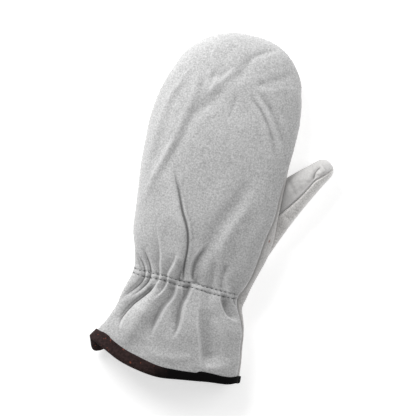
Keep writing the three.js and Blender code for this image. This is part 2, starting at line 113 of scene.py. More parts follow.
def smooth(value: Array, start: float, end: float) -> Array:
    """Smooth step from 0 at the start to 1 at the end."""
    share = np.clip((value - start) / (end - start), 0.0, 1.0)
    return share * share * (3.0 - 2.0 * share)


def mix(first: Array, second: Array, share: Array) -> Array:
    """Straight blend of two values by a share."""
    return first + (second - first) * share


def bump(away: Array, spread: float, power: float = 2.0) -> Array:
    """Bell of a distance: exp(-(distance / spread) ** power)."""
    return np.exp(-((np.abs(away) / spread) ** power))


def ripple(x: Array, y: Array, wavelength: float, seed: int, waves: int = 18) -> Array:
    """Soft irregular relief, as a sum of plane waves that run every way at about one wavelength.

    Args:
        x: First coordinate of each place.
        y: Second coordinate of each place.
        wavelength: Middle wavelength, in the units of the coordinates.
        seed: Seed of the directions and phases.
        waves: How many waves are summed.

    Returns:
        Relief of about -1 to 1 at each place.
    """
    random = np.random.default_rng(seed)
    total = np.zeros(np.broadcast(x, y).shape)
    turns = random.uniform(0, np.pi, waves)
    phases = random.uniform(0, 2 * np.pi, waves)
    stretched = random.uniform(*RIPPLE_STRETCH, waves)
    for turn, phase, stretch in zip(turns, phases, stretched):
        pace = 2 * np.pi / (wavelength * stretch)
        total += np.sin(pace * (x * np.cos(turn) + y * np.sin(turn)) + phase)
    return total / np.sqrt(waves) / RIPPLE_PEAK


@dataclass(frozen=True)
class Waves:
    """Soft irregular relief of a stated height and wavelength in millimetres, with the seed of its waves."""

    height: float
    wavelength: float
    seed: int

    def at(self, x: Array, y: Array) -> Array:
        """Relief at each place: the height times a ripple."""
        return self.height * ripple(x, y, self.wavelength, self.seed)


def crowded(count: int) -> Array:
    """Places from -1 to 1 that lie closer together towards both ends, by the sine of a quarter turn."""
    share = np.linspace(-1, 1, count)
    return mix(share, np.sin(share * QUARTER), SIDE_CROWDING)


@dataclass(frozen=True)
class Chart:
    """Short table of named columns, read on a smooth curve through its rows. The place comes first."""

    columns: tuple[str, ...]
    rows: tuple[tuple[float, ...], ...]

    def read(self, column: str, place: Array) -> Array:
        """Reads one column at any places.

        The curve between two rows is a cubic whose slope at a row is that of the line between its neighbours.

        Args:
            column: Name of the column.
            place: Places to read it at.

        Returns:
            The column's values there.
        """
        at = np.array([row[0] for row in self.rows])
        value = np.array([row[self.columns.index(column)] for row in self.rows])
        count = len(at)
        before = np.maximum(np.arange(count) - 1, 0)
        after = np.minimum(np.arange(count) + 1, count - 1)
        slope = (value[after] - value[before]) / (at[after] - at[before])
        place = np.clip(place, at[0], at[-1])
        i = np.clip(np.searchsorted(at, place) - 1, 0, count - 2)
        span = at[i + 1] - at[i]
        u = (place - at[i]) / span
        straight = mix(value[i], value[i + 1], u * u * (3 - 2 * u))
        return straight + span * u * (1 - u) * ((1 - u) * slope[i] - u * slope[i + 1])


SECTIONS = Chart(
    ("at", "left", "right", "back_right", "top", "left_seam", "right_seam", "lift"),
    (
        (0.0, -1.156, 0.977, 0.953, 0.78, 0.38, 0.38, 0),
        (0.063, -1.118, 0.961, 0.933, 0.8, 0.38, 0.38, 0),
        (0.093, -1.036, 0.948, 0.929, 0.81, 0.38, 0.39, 0),
        (0.1335, -0.94, 0.917, 0.897, 0.83, 0.39, 0.4, 0),
        (0.174, -0.868, 0.893, 0.874, 0.83, 0.4, 0.42, 0.2),
        (0.214, -0.834, 0.839, 0.8, 0.81, 0.41, 0.44, 0.7),
        (0.241, -0.796, 0.797, 0.733, 0.79, 0.42, 0.46, 1),
        (0.2714, -0.759, 0.826, 0.714, 0.78, 0.42, 0.48, 1),
        (0.302, -0.762, 0.853, 0.778, 0.82, 0.42, 0.51, 0.7),
        (0.342, -0.808, 0.905, 0.832, 0.88, 0.41, 0.55, 0.2),
        (0.389, -0.881, 0.969, 0.864, 0.93, 0.41, 0.59, 0),
        (0.443, -0.909, 1.009, 0.893, 0.97, 0.4, 0.62, 0),
        (0.51, -0.943, 0.996, 0.951, 0.99, 0.4, 0.63, 0),
        (0.5775, -0.98, 0.99, 0.954, 1.0, 0.4, 0.62, 0),
        (0.645, -0.993, 0.985, 0.98, 1.0, 0.4, 0.56, 0),
        (0.712, -0.999, 0.999, 0.999, 0.99, 0.4, 0.48, 0),
        (0.779, -0.962, 1.002, 1.002, 0.96, 0.4, 0.42, 0),
        (0.833, -0.895, 0.97, 0.97, 0.93, 0.4, 0.4, 0),
        (0.887, -0.802, 0.913, 0.913, 0.9, 0.4, 0.4, 0),
        (1.0, -0.802, 0.913, 0.913, 0.86, 0.4, 0.4, 0),
    ),
)
"""Sections along the mitt: a share of its length, edges in shares of half the hand's width, heights in shares
of its thickness and the lift in shares of the wrist's lift."""

HEM = Chart(
    ("at", "back", "palm"),
    (
        (-1, 1, 1),
        (-0.94, 0.89, 0.5),
        (-0.87, 0.78, 0.5),
        (-0.8, 0.67, 0.64),
        (-0.55, 0.3, 0.6),
        (-0.25, 0.07, 0.48),
        (0, 0, 0.42),
        (0.3, 0.12, 0.42),
        (0.65, 0.27, 0.44),
        (0.9, 0.35, 0.42),
        (1, 0.47, 0.47),
    ),
)
"""The hem across the mitt, from -1 on the left to 1 on the right, in shares of its sweep."""

THUMB_SECTIONS = Chart(
    ("at", "finger_side", "outer_side", "under", "top"),
    (
        (0.0, 0.38, -0.69, 0.12, 0.5),
        (0.082, 0.43, -0.638, 0.12, 0.58),
        (0.246, 0.452, -0.526, 0.12, 0.7),
        (0.42, 0.43, -0.414, 0.09, 0.92),
        (0.626, 0.362, -0.305, 0.03, 1.0),
        (0.78, 0.307, -0.236, 0, 0.96),
        (0.9, 0.255, -0.19, 0, 0.9),
        (1.0, 0.23, -0.16, 0, 0.86),
    ),
)
"""Sections of the thumb: its sides in shares of its width off its own line, its heights in shares of its
thickness."""

THUMB_SEAM = Chart(
    ("at", "off"),
    (
        (-0.2, -0.13),
        (0.36, -0.12),
        (0.48, -0.125),
        (0.61, -0.107),
        (0.72, -0.069),
        (0.8, -0.04),
        (0.87, -0.067),
        (0.95, -0.081),
        (1.2, -0.09),
    ),
)
"""The seam between the thumb's two pieces, in the same shares."""


@dataclass(frozen=True)
class Row:
    """Edges and heights of the mitt's sections in millimetres, each with a number for every place."""

    left: Array
    right: Array
    back_right: Array
    top: Array
    left_seam: Array
    right_seam: Array
    floor: Array


@dataclass(frozen=True)
class HandForm:
    """Plain form of the hand and cuff without folds, as the frame's solids have it, in millimetres."""

    length: float = 297.3
    hand_width: float = 124.7
    thickness: float = 44.0
    hem_sweep: float = 19.2
    tip_depth: float = 33.6
    back_round: float = 46.0
    palm_round: float = 26.0
    side_round: float = 18.0
    wrist_lift: float = 2.5
    binding_reach: float = 1.6
    binding_width: float = 9.0
    binding_settle: float = 14.0
    back_power: float = 2.3
    back_fullness: float = 0.52
    tip_power: float = 2.2
    tip_left_power: float = 2.3
    tip_right_power: float = 2.9
    tip_fullness: float = 0.85
    roll_steepness: float = 1.9
    roll_end: float = float(np.radians(58))
    roll_limit: float = 0.6
    roll_shows: Point = (0.3, 1.8)
    hem_reach: float = 0.24
    tip_reach: float = 0.42
    tip_steepness: float = 0.5
    palm_side: float = 6 / 19
    side_stretch: Point = (0.3, 0.85)
    side_count: int = 400

    def y_at(self, side: str, across: Array, along: Array, inset: Array) -> Array:
        """Distance from the hem's lowest place, for places in the panel's own shares.

        Rows sweep up with the hem at the cuff, and bow round the fingertips with a rounded drop to both
        sides.

        Args:
            side: Panel whose hem it follows, "back" or "palm".
            across: From -1 at the left edge to 1 at the right edge.
            along: From 0 at the hem to 1 at the fingertips.
            inset: How far inside the outer face the place is.

        Returns:
            The y of each place.
        """
        hem = self.hem_sweep * HEM.read(side, across) * (1 - smooth(along, 0, self.hem_reach))
        bow = np.maximum(0.0, 1 - (1 - along) / self.tip_reach) ** 2
        power = np.where(across < 0, self.tip_left_power, self.tip_right_power)
        drop = self.tip_depth * (1 - rounded(np.abs(across), power, self.tip_fullness))
        return self.length * along + hem - (drop + inset) * bow

    def row(self, along: Array) -> Row:
        """Section of the mitt at each place along it, read from the table of sections.

        Args:
            along: From 0 at the hem to 1 at the fingertips.

        Returns:
            The section's edges and heights at each place.
        """
        half = self.hand_width / 2
        edge = np.ones_like(along)
        left_at = self.y_at("back", -edge, along, 0.0) / self.length
        right_at = self.y_at("back", edge, along, 0.0) / self.length
        from_hem = self.length * along
        settle = smooth(from_hem, self.binding_width, self.binding_width + self.binding_settle)
        lift = self.wrist_lift * np.maximum(0.0, SECTIONS.read("lift", along))
        return Row(
            left=half * SECTIONS.read("left", left_at),
            right=half * SECTIONS.read("right", right_at),
            back_right=half * SECTIONS.read("back_right", right_at),
            top=self.thickness * SECTIONS.read("top", along),
            left_seam=self.thickness * SECTIONS.read("left_seam", along),
            right_seam=self.thickness * SECTIONS.read("right_seam", along),
            floor=lift + self.binding_reach * (1 - settle),
        )

    def tip_fall(self, along: Array, size: float) -> Array:
        """Fall of a panel towards the fingertips over a length: one inside, and nought at the seam."""
        return rounded(1 - (1 - along) * self.length / size, self.tip_power, self.tip_steepness)

    def roll(self, row: Row, floor: Array) -> tuple[Array, Array, Array]:
        """How the palm rolls in over the top on the thumb side.

        Args:
            row: Sections of the mitt.
            floor: Height of the palm under them.

        Returns:
            How far the roll reaches in, how high it rises, and the height at which it starts.
        """
        reach = row.right - row.back_right
        rise = np.minimum(self.roll_steepness * reach, self.roll_limit * (row.right_seam - floor))
        return reach, rise, row.right_seam - rise

    def back(self, across: Array, along: Array, inset: Array) -> Array:
        """Back of the hand: a dome over the two side seams that comes down round the fingertips.

        The height above the seam is the section's top times (1 - |across| ** power) ** fullness times the
        same kind of fall towards the fingertips.

        Args:
            across: From -1 at the left seam to 1 at the thumb side's seam.
            along: From 0 at the hem to 1 at the fingertips.
            inset: How far inside the outer face.

        Returns:
            Places, with the coordinates on the last axis.
        """
        row = self.row(along)
        share = (across + 1) / 2
        seam = mix(row.left_seam, row.right_seam, share)
        tip = self.tip_fall(along, self.back_round)
        dome = rounded(np.abs(across), self.back_power, self.back_fullness) * tip
        x = mix(row.left + inset, row.back_right - inset, share)
        z = seam + (row.top - inset - seam) * dome
        return np.stack(np.broadcast_arrays(x, self.y_at("back", across, along, inset), z), axis=-1)

    def palm(self, around: Array, along: Array, inset: Array) -> Array:
        """Palm, from the thumb side's seam at 0, under the hand, to the left seam at 1.

        Each side is a quarter of an ellipse up from the flat palm. On the thumb side a second arc rolls in
        over the top, to the edge of the back panel.

        Args:
            around: From 0 to 1 round the section.
            along: From 0 at the hem to 1 at the fingertips.
            inset: How far inside the outer face.

        Returns:
            Places, with the coordinates on the last axis.
        """
        row = self.row(along)
        floor = row.floor + inset
        bend = self.side_round - inset
        left = row.left + inset
        right = row.right - inset
        reach, roll, widest = self.roll(row, floor)
        lower = bend + widest - floor
        turn = lower / (lower + reach + roll)
        rising = np.clip(1 - around / self.palm_side, 0, 1)
        low = np.clip(rising / turn, 0, 1) * QUARTER
        high = np.clip((rising - turn) / np.maximum(1 - turn, TINY), 0, 1) * self.roll_end
        rolled = rising > turn
        right_x = np.where(
            rolled,
            right - reach * (1 - np.cos(high)) / (1 - np.cos(self.roll_end)),
            right - bend * (1 - np.sin(low)),
        )
        right_z = np.where(
            rolled,
            widest + roll * np.sin(high) / np.sin(self.roll_end),
            floor + (widest - floor) * (1 - np.cos(low)),
        )
        angle = np.clip(1 - (1 - around) / self.palm_side, 0, 1) * QUARTER
        left_x = left + bend * (1 - np.sin(angle))
        left_z = floor + (row.left_seam - floor) * (1 - np.cos(angle))
        flat = np.clip((around - self.palm_side) / (1 - 2 * self.palm_side), 0, 1)
        flat_x = mix(right - bend, left + bend, flat)
        on_right = around < self.palm_side
        on_left = around > 1 - self.palm_side
        x = np.where(on_right, right_x, np.where(on_left, left_x, flat_x))
        z = np.where(on_right, right_z, np.where(on_left, left_z, floor + 0 * flat_x))
        share = np.where(on_right & rolled, 1.0, np.clip((x - left) / (right - left), 0, 1))
        seam = mix(row.left_seam, row.right_seam, share)
        y = self.y_at("palm", 2 * share - 1, along, inset)
        z = mix(seam, z, self.tip_fall(along, self.palm_round))
        return np.stack(np.broadcast_arrays(x, y, z), axis=-1)

    def fall(self, along: Array, right: Array) -> Array:
        """Share of a seam's shift that goes down, which is where the palm rolls in over the top.

        Args:
            along: From 0 at the hem to 1 at the fingertips.
            right: How far each place belongs to the thumb side, from 0 to 1.

        Returns:
            The share, from 0 to 1.
        """
        row = self.row(along)
        return smooth(row.right - row.back_right, *self.roll_shows) * right

    def side_x(self, y: Array, z: Array) -> Array:
        """Outer x of the palm's thumb side: the palm's arcs turned round, to give x for a height.

        Args:
            y: Distance of each place from the hem's lowest place.
            z: Its height.

        Returns:
            The x of the outer face there.
        """
        along = np.linspace(*self.side_stretch, self.side_count)
        at = np.interp(y, self.y_at("palm", np.ones(self.side_count), along, 0.0), along)
        row = self.row(at)
        reach, roll, widest = self.roll(row, row.floor)
        low = np.arccos(np.clip(1 - (z - row.floor) / (widest - row.floor), 0, 1))
        high = np.arcsin(np.clip((z - widest) / np.maximum(roll, TINY), 0, 1) * np.sin(self.roll_end))
        under = row.right - self.side_round * (1 - np.sin(low))
        over = row.right - reach * (1 - np.cos(high)) / (1 - np.cos(self.roll_end))
        return np.where(z < widest, under, over)


HAND = HandForm()


def path_samples(path: tuple[Point, ...], per_span: int = 6) -> Array:
    """Places on a smooth curve through a path's points, moved from the wrist's middle into the mitt's chart.

    Args:
        path: Points measured from the wrist's middle, in millimetres.
        per_span: Places taken between two points.

    Returns:
        Array of x and y, a row for each place.
    """
    curve = Chart(("at", "x", "y"), tuple((float(i), x, y) for i, (x, y) in enumerate(path)))
    at = np.linspace(0, len(path) - 1, per_span * (len(path) - 1) + 1)
    return np.stack([curve.read("x", at) + WRIST[0], curve.read("y", at) + WRIST[1]], axis=-1)


def path_distance(x: Array, y: Array, path: Array) -> tuple[Array, Array]:
    """Distance of places from a path in plan.

    Args:
        x: The places' x.
        y: The places' y.
        path: Points of the path, a row of x and y for each.

    Returns:
        The signed distance, above nought to the left of the path, and the share of the path's length at the
        nearest place on it.
    """
    nearest = np.full(x.shape, np.inf)
    signed = np.zeros(x.shape)
    share = np.zeros(x.shape)
    steps = np.diff(path, axis=0)
    lengths = np.hypot(steps[:, 0], steps[:, 1])
    starts = np.concatenate([[0.0], np.cumsum(lengths)])
    for (ax, ay), (dx, dy), size, start in zip(path[:-1], steps, lengths, starts):
        u = np.clip(((x - ax) * dx + (y - ay) * dy) / size**2, 0, 1)
        away = np.hypot(x - ax - u * dx, y - ay - u * dy)
        closer = away < nearest
        side = np.sign(dx * (y - ay) - dy * (x - ax))
        nearest = np.where(closer, away, nearest)
        signed = np.where(closer, away * side, signed)
        share = np.where(closer, (start + u * size) / starts[-1], share)
    return signed, share


class FoldKind(Enum):
    """Profile of a fold across its path."""

    SOFT = "round bell"
    CREASE = "bell with a sharp middle"
    STEP = "steep change on the path, and a long slope back on its right, seen along the path"


SOFT = FoldKind.SOFT
CREASE = FoldKind.CREASE
STEP = FoldKind.STEP


@dataclass(frozen=True)
class Fold:
    """A fold of the leather along a path.

    The rise in millimetres is below nought for a valley. The spread in millimetres is that of its sides. It
    grows and fades over the fade_in and fade_out shares of its length. The climb is the share of the spread
    over which a step changes. The shade is how dark the painted shade along its line is, from 0 to 1.
    """

    rise: float
    spread: float
    path: tuple[Point, ...]
    kind: FoldKind = FoldKind.SOFT
    fade_in: float = 0.25
    fade_out: float = 0.25
    climb: float = 0.3
    shade: float = 0.0

    def height(self, x: Array, y: Array) -> Array:
        """Rise at each place: a profile of the distance from the path, faded at both ends of it.

        A bell is exp(-(distance / spread) ** power). A step climbs to the right of the path over a share of
        the spread and then falls as a bell.

        Args:
            x: The places' x.
            y: The places' y.

        Returns:
            The rise in millimetres.
        """
        away, ends = self.reach(x, y)
        away = away / self.spread
        if self.kind is FoldKind.STEP:
            climb = 1 - bump(np.maximum(-away, 0.0), self.climb, STEP_POWER)
            return self.rise * ends * climb * bump(away, 1.0)
        power = CREASE_POWER if self.kind is FoldKind.CREASE else 2.0
        return self.rise * ends * bump(away, 1.0, power)

    def reach(self, x: Array, y: Array) -> tuple[Array, Array]:
        """Where places lie to the fold.

        Args:
            x: The places' x.
            y: The places' y.

        Returns:
            The signed distance from the path, and the share to which the fold has grown there.
        """
        away, share = path_distance(x, y, path_samples(self.path))
        grown = smooth(share, -FADE_MARGIN, self.fade_in)
        return away, grown * (1 - smooth(share, 1 - self.fade_out, 1 + FADE_MARGIN))


BACK_FOLDS: tuple[Fold, ...] = (
    # The long fold from the fingertips down the left of the hand, soft at first and a sharp step lower down.
    Fold(
        -1.25, 4.8,
        ((35, 240), (24, 235), (15, 230), (9.5, 223), (6, 215), (2, 208), (-3, 203)),
        fade_in=0.2,
    ),
    Fold(
        -1.4, 5.5,
        ((0, 208), (-7, 195), (-14, 184), (-21, 177), (-27, 168), (-31, 155), (-34, 140), (-35, 126)),
    ),
    Fold(
        5.6, 12.0,
        ((-33, 128), (-28, 114), (-24, 106), (-20, 97), (-16, 88), (-10, 77), (-6.8, 68), (-5, 58),
         (-4.6, 46), (-3.8, 38), (-2.4, 31)),
        STEP, fade_in=0.45, fade_out=0.1, climb=0.36, shade=0.9,
    ),
    Fold(
        0.55, 1.4,
        ((-20.4, 104.5), (-18.2, 97.5), (-14.3, 88.8), (-8.3, 77.6), (-5.1, 68.3), (-3.3, 58), (-2.9, 46),
         (-2.2, 38)),
    ),
    # Soft ridges and valleys down the left side.
    Fold(
        1.15, 3.6,
        ((-29.5, 207), (-29.5, 196), (-30.4, 180), (-34, 162), (-37, 146), (-41, 132), (-44, 121),
         (-48, 108)),
    ),
    Fold(1.15, 3.0, ((-36, 152), (-40, 136), (-43, 124), (-46.5, 112), (-49, 98), (-49.5, 88))),
    Fold(1.0, 3.0, ((-36.8, 207), (-44, 191), (-49.5, 178), (-52.4, 157), (-54, 135), (-56, 108))),
    Fold(-0.6, 3.2, ((-33, 206), (-38, 196), (-42, 184), (-45, 172), (-46, 156), (-49, 136), (-52, 118))),
    Fold(0.4, 1.2, ((-36, 209), (-38, 205), (-41, 199)), CREASE),
    Fold(-0.4, 3.0, ((-52, 195), (-55, 185), (-58, 175))),
    # Soft dents at the top left.
    Fold(-0.35, 2.6, ((-6, 214), (-9, 209), (-12, 203))),
    Fold(-0.25, 2.8, ((-16, 213), (-17.5, 206), (-18.5, 198))),
    Fold(0.3, 1.8, ((-21, 236), (-21.4, 226), (-22, 214))),
    Fold(0.4, 1.5, ((-20.6, 209), (-20.6, 203), (-22, 195))),
    Fold(0.4, 1.5, ((-13.6, 204), (-14.6, 198), (-17, 190))),
    Fold(0.5, 2.4, ((1, 216), (-6, 207), (-12, 198), (-18, 188))),
    Fold(-0.45, 3.4, ((-9, 220), (-13, 211), (-18, 204), (-24, 198), (-27, 188))),
    Fold(-0.4, 3.6, ((-4, 238), (-8, 228), (-14, 220))),
    # The crisp edge over the fingertips.
    Fold(0.4, 2.0, ((38, 239), (28, 234), (20, 230), (14, 225), (11, 218))),
    # Folds at the top right and down the right side.
    Fold(-0.6, 3.6, ((49, 223), (39.6, 216), (30.6, 211.5), (22, 206), (20, 200))),
    Fold(0.3, 1.4, ((22, 203), (32, 202.5), (41, 207), (51, 209), (57, 209.7))),
    Fold(-0.8, 3.8, ((23.5, 202), (33, 192), (41.4, 182), (49, 171), (55.7, 160), (58, 146), (58.5, 134))),
    Fold(-0.42, 2.0, ((12.7, 199), (20, 193), (27, 187), (33, 180), (37.8, 173), (45, 160), (50, 144))),
    Fold(0.4, 2.4, ((18, 199), (27, 191.5), (34, 185), (40, 177), (45, 170), (51, 158), (54, 148))),
    Fold(0.4, 4.0, ((30, 176), (37, 166), (43, 154), (49, 142))),
    Fold(-0.5, 4.0, ((54, 150), (57, 138), (59, 122), (59, 106))),
    Fold(-0.35, 2.0, ((5.5, 196), (5.6, 187), (4.5, 178), (3, 169))),
    # The wide fold that runs from the thumb's root down to the wrist.
    Fold(
        -2.1, 6.8,
        ((37, 138), (33, 124), (28, 112), (23.5, 99), (19, 89), (15, 79), (12, 68), (10, 58), (9, 47)),
        fade_in=0.4,
    ),
    Fold(0.8, 4.4, ((42, 114), (36, 103), (30, 91), (26, 80), (22, 69), (21, 56), (21, 44), (22, 34))),
    Fold(-0.7, 5.5, ((45, 105), (42, 90), (38, 78), (33, 62), (30, 48), (29, 38))),
    Fold(0.4, 5.0, ((52, 100), (50, 84), (47, 66), (43, 50), (40, 38))),
    # Gathers through the wrist's stitching, from the left side to the right: round lobes between creases.
    Fold(
        -6.0, 2.8,
        ((-48.5, 49), (-43, 40), (-39, 33.5), (-37.4, 28), (-39.7, 22), (-44.8, 15), (-49.1, 8.3),
         (-52.1, 1)),
        CREASE, fade_in=0.25, fade_out=0.3, shade=0.35,
    ),
    Fold(
        -4.8, 2.3,
        ((-43, 54), (-37.5, 43), (-33.4, 35), (-32, 30), (-32.8, 25.4), (-36.4, 19.8), (-41.5, 12.8),
         (-46, 7)),
        CREASE, fade_in=0.4, fade_out=0.35, shade=0.35,
    ),
    Fold(
        -4.4, 7.0,
        ((-34, 72), (-28.9, 58), (-25.7, 47.5), (-24.4, 40), (-22.8, 33.5), (-22.4, 28), (-24.8, 22.6),
         (-29.8, 15.5), (-35.6, 8.4), (-41.4, 1.3), (-44.8, -5.2), (-46, -11.2), (-45.4, -17), (-43.5, -24)),
        STEP, fade_in=0.45, fade_out=0.3, climb=0.22,
    ),
    Fold(
        -7.0, 3.1,
        ((-24.6, 25), (-26.6, 21.5), (-30.8, 16), (-36.2, 9.3), (-41.8, 2), (-45.6, -5.4), (-47, -11.2),
         (-46.6, -18)),
        CREASE, fade_in=0.2, fade_out=0.3, shade=0.5,
    ),
    Fold(4.0, 9.0, ((-25, 8), (-30, -2), (-34, -12), (-37, -24), (-40, -36)), fade_in=0.25, fade_out=0.4),
    Fold(1.2, 2.6, ((-40, 0), (-43, -6), (-44.5, -13), (-43, -22))),
    Fold(
        -3.2, 6.2,
        ((-11.5, 57), (-12.2, 51), (-13, 45.2), (-14.5, 39.8), (-15.8, 34), (-15.2, 27), (-17.3, 20.3),
         (-21.6, 13.6), (-25.2, 9)),
        STEP, fade_in=0.4, fade_out=0.3, climb=0.22,
    ),
    Fold(-3.2, 3.8, ((-7.6, 50), (-7.2, 42), (-6.4, 35), (-5.8, 30), (-6.4, 25)), fade_in=0.5, fade_out=0.3),
    Fold(
        -7.2, 9.8,
        ((-6.2, 30), (-6.4, 26.7), (-6.5, 19), (-8.9, 12.7), (-11.5, 8), (-13.9, 1), (-15.8, -7.1),
         (-17.1, -14.1), (-17, -22)),
        STEP, fade_in=0.15, fade_out=0.38, climb=0.2, shade=0.3,
    ),
    Fold(
        -4.2, 8.5,
        ((4.9, 27.5), (4, 32), (1.8, 37), (0.8, 42), (1.3, 50.3), (5.1, 59.8), (11, 70)),
        STEP, fade_in=0.12, fade_out=0.55, climb=0.28,
    ),
    Fold(
        -6.2, 8.5,
        ((5.4, 33), (5.8, 27.6), (4.8, 19.7), (3, 13.5), (2.8, 5.8), (3.2, -0.8), (3, -7.6), (1.9, -13.5),
         (-0.5, -20)),
        STEP, fade_in=0.14, fade_out=0.42, climb=0.2, shade=0.2,
    ),
    Fold(
        -2.0, 4.4,
        ((19, 66), (19.6, 50), (20.6, 40), (21, 30), (21.4, 22), (22.6, 12)),
        fade_in=0.4, fade_out=0.3,
    ),
    Fold(
        -10.5, 17.0,
        ((28, -36), (25.4, -26), (21.5, -13), (18, -3), (16, 6), (15, 14), (15, 22)),
        STEP, fade_in=0.2, fade_out=0.5, climb=0.45,
    ),
    Fold(-1.2, 2.6, ((30, 54), (29, 41), (29.2, 34), (29.8, 28))),
    Fold(
        -9.5, 8.0,
        ((54, 8), (47, 8.6), (40.5, 11), (35, 16.5), (31.4, 22.5), (29.8, 30)),
        STEP, fade_in=0.3, fade_out=0.4, climb=0.35, shade=0.2,
    ),
    Fold(1.8, 2.4, ((35, 38), (35.6, 32), (37.4, 27), (41, 23), (46, 18.6), (51.5, 15.5))),
    Fold(
        -5.6, 4.0,
        ((53, 15.5), (47, 19.2), (43, 22.6), (41, 27), (40.6, 34)),
        STEP, fade_in=0.2, fade_out=0.45, climb=0.35, shade=0.2,
    ),
    # Soft forms over the lower right of the cuff and above the hem.
    Fold(0.8, 7.0, ((30, 10), (36, 1), (42, -9), (47, -24))),
    Fold(0.7, 3.6, ((-20, -31), (-8, -33), (4, -33), (16, -29), (22, -24))),
    Fold(-0.5, 5.0, ((-30, -20), (-34, -30), (-38, -38))),
)
"""Folds, dents and gathers of the back, by paths measured from the wrist's middle in millimetres."""

STITCH_ROWS: tuple[tuple[Point, ...], ...] = (
    (
        (-46, 33), (-40, 32), (-35, 32.5), (-28, 32), (-20, 32.3), (-10, 31.5), (0, 31), (8, 32), (15, 31),
        (22, 30.7), (30, 30.5), (40, 30.5), (45, 30.3),
    ),
    (
        (-46.5, 29), (-38, 27.8), (-30, 28), (-20, 28.3), (-10, 27.5), (0, 27), (6, 28), (15, 27), (22, 26.5),
        (30, 26.3), (40, 26.5), (45, 27),
    ),
)
"""The two rows of stitches that gather the wrist, from the left side to the right, by the same paths."""


def facing(points: Array) -> Array:
    """Unit normals of a grid of places: the cross product of its two directions, over its length.

    Args:
        points: Grid of places.

    Returns:
        The normal at each place.
    """
    sideways = np.gradient(points, axis=1)
    lengthways = np.gradient(points, axis=0)
    out = np.cross(sideways, lengthways)
    size = np.linalg.norm(out, axis=-1, keepdims=True)
    return out / np.maximum(size, LEAST_NORMAL)


def edge_distance(points: Array, sides: tuple[bool, bool, bool, bool]) -> Array:
    """Distance over a grid's surface to the nearest of its chosen edges, summed along its rows and columns.

    Args:
        points: Grid of places.
        sides: Whether the first column, the last column, the first row and the last row count.

    Returns:
        The distance at each place, in the units of the places.
    """
    away = np.full(points.shape[:2], np.inf)
    for axis, (first, last) in ((1, sides[:2]), (0, sides[2:])):
        steps = np.linalg.norm(np.diff(points, axis=axis), axis=-1)
        run = np.cumsum(steps, axis=axis)
        run = np.insert(run, 0, 0.0, axis=axis)
        total = run[:, -1:] if axis == 1 else run[-1:, :]
        if first:
            away = np.minimum(away, run)
        if last:
            away = np.minimum(away, total - run)
    return away


def set_attribute(piece: bpy.types.Object, name: str, value: Array) -> None:
    """Stores a number for each vertex of a piece.

    Args:
        piece: The piece.
        name: Name of the attribute.
        value: Numbers of its first vertices. The others, of a sheet's inner face, have nought.
    """
    numbers = np.zeros(len(piece.data.vertices), dtype=np.float32)
    numbers[: value.size] = value.reshape(-1)
    piece.data.attributes.new(name, "FLOAT", "POINT").data.foreach_set("value", numbers)


def close_poles(piece: bpy.types.Object) -> None:
    """Merges the vertices that meet at one place.

    Args:
        piece: The piece, whose mesh is changed.
    """
    mesh = bmesh.new()
    mesh.from_mesh(piece.data)
    bmesh.ops.remove_doubles(mesh, verts=mesh.verts, dist=MERGE_DISTANCE * METRES)
    mesh.to_mesh(piece.data)
    mesh.free()


def thicken(piece: bpy.types.Object, wall: float) -> None:
    """Gives a piece a wall under its outer face.

    Args:
        piece: The piece.
        wall: Thickness of the wall in millimetres.
    """
    solid = piece.modifiers.new("wall", "SOLIDIFY")
    solid.thickness = wall * METRES
    solid.offset = -1.0
    solid.use_even_offset = False


def adopt(piece: bpy.types.Object, node: str, material: bpy.types.Material) -> None:
    """Lets a piece stand for a node of the frame.

    Args:
        piece: The piece.
        node: Node of the frame that it replaces.
        material: The piece's material.
    """
    piece.data.materials.append(material)
    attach(piece, "root")
    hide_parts(node)
    log.info("%s stands for %s with %d faces", piece.name, node, len(piece.data.polygons))


def leather_sheet(name: str, outer: Array, inner: Array) -> bpy.types.Object:
    """Makes one closed sheet of leather from two grids of places in millimetres.

    The inner grid has half as many cells each way. Each cell is a quad, and three triangles join each inner
    edge of the rim to its two outer edges.

    Args:
        name: Name of the piece.
        outer: Outer face, whose columns and rows turn counter-clockwise seen from outside.
        inner: Inner face, with every second row and column of the outer one.

    Returns:
        The object, at the frame's origin, with its mesh in metres.
    """
    shift = outer.shape[0] * outer.shape[1]
    outer_rim = grid_rim(*outer.shape[:2])
    inner_rim = grid_rim(*inner.shape[:2]) + shift
    first, middle, last = outer_rim[:-1:2], outer_rim[1::2], outer_rim[2::2]
    near, far = inner_rim[:-1], inner_rim[1:]
    rim = np.concatenate(
        [
            np.stack([first, near, middle], axis=-1),
            np.stack([near, far, middle], axis=-1),
            np.stack([middle, far, last], axis=-1),
        ]
    )
    inner_quads = grid_faces(*inner.shape[:2]) + shift
    quads = np.concatenate([grid_faces(*outer.shape[:2]), inner_quads[:, ::-1]])
    place = np.concatenate([outer.reshape(-1, 3), inner.reshape(-1, 3)])
    return mesh_from_faces(name, place, quads.tolist() + rim.tolist())


def mesh_from_faces(name: str, place: Array, faces: list[list[int]]) -> bpy.types.Object:
    """Makes a smooth object at the frame's origin.

    Args:
        name: Name of the piece.
        place: Its vertices, in millimetres in the mitt's chart.
        faces: The vertices of each face.

    Returns:
        The object, with its mesh in metres.
    """
    mesh = bpy.data.meshes.new(name)
    mesh.from_pydata((place - np.array([*MIDDLE, 0.0])) * METRES, [], faces)
    mesh.polygons.foreach_set("use_smooth", np.ones(len(faces), dtype=bool))
    mesh.update()
    piece = bpy.data.objects.new(name, mesh)
    bpy.context.scene.collection.objects.link(piece)
    return piece


def stretches(start: float, parts: tuple[tuple[float, int], ...]) -> Array:
    """Places along stretches that follow each other, the last one closer together towards 1.

    Args:
        start: The first place.
        parts: The end of each stretch and how many places it adds.

    Returns:
        The places, from the start to the last end.
    """
    places = [np.array([start])]
    for end, count in parts:
        share = np.arange(1, count + 1) / count
        if end == 1:
            share = np.sin(share * QUARTER)
        places.append(mix(places[-1][-1], end, share))
    return np.concatenate(places)


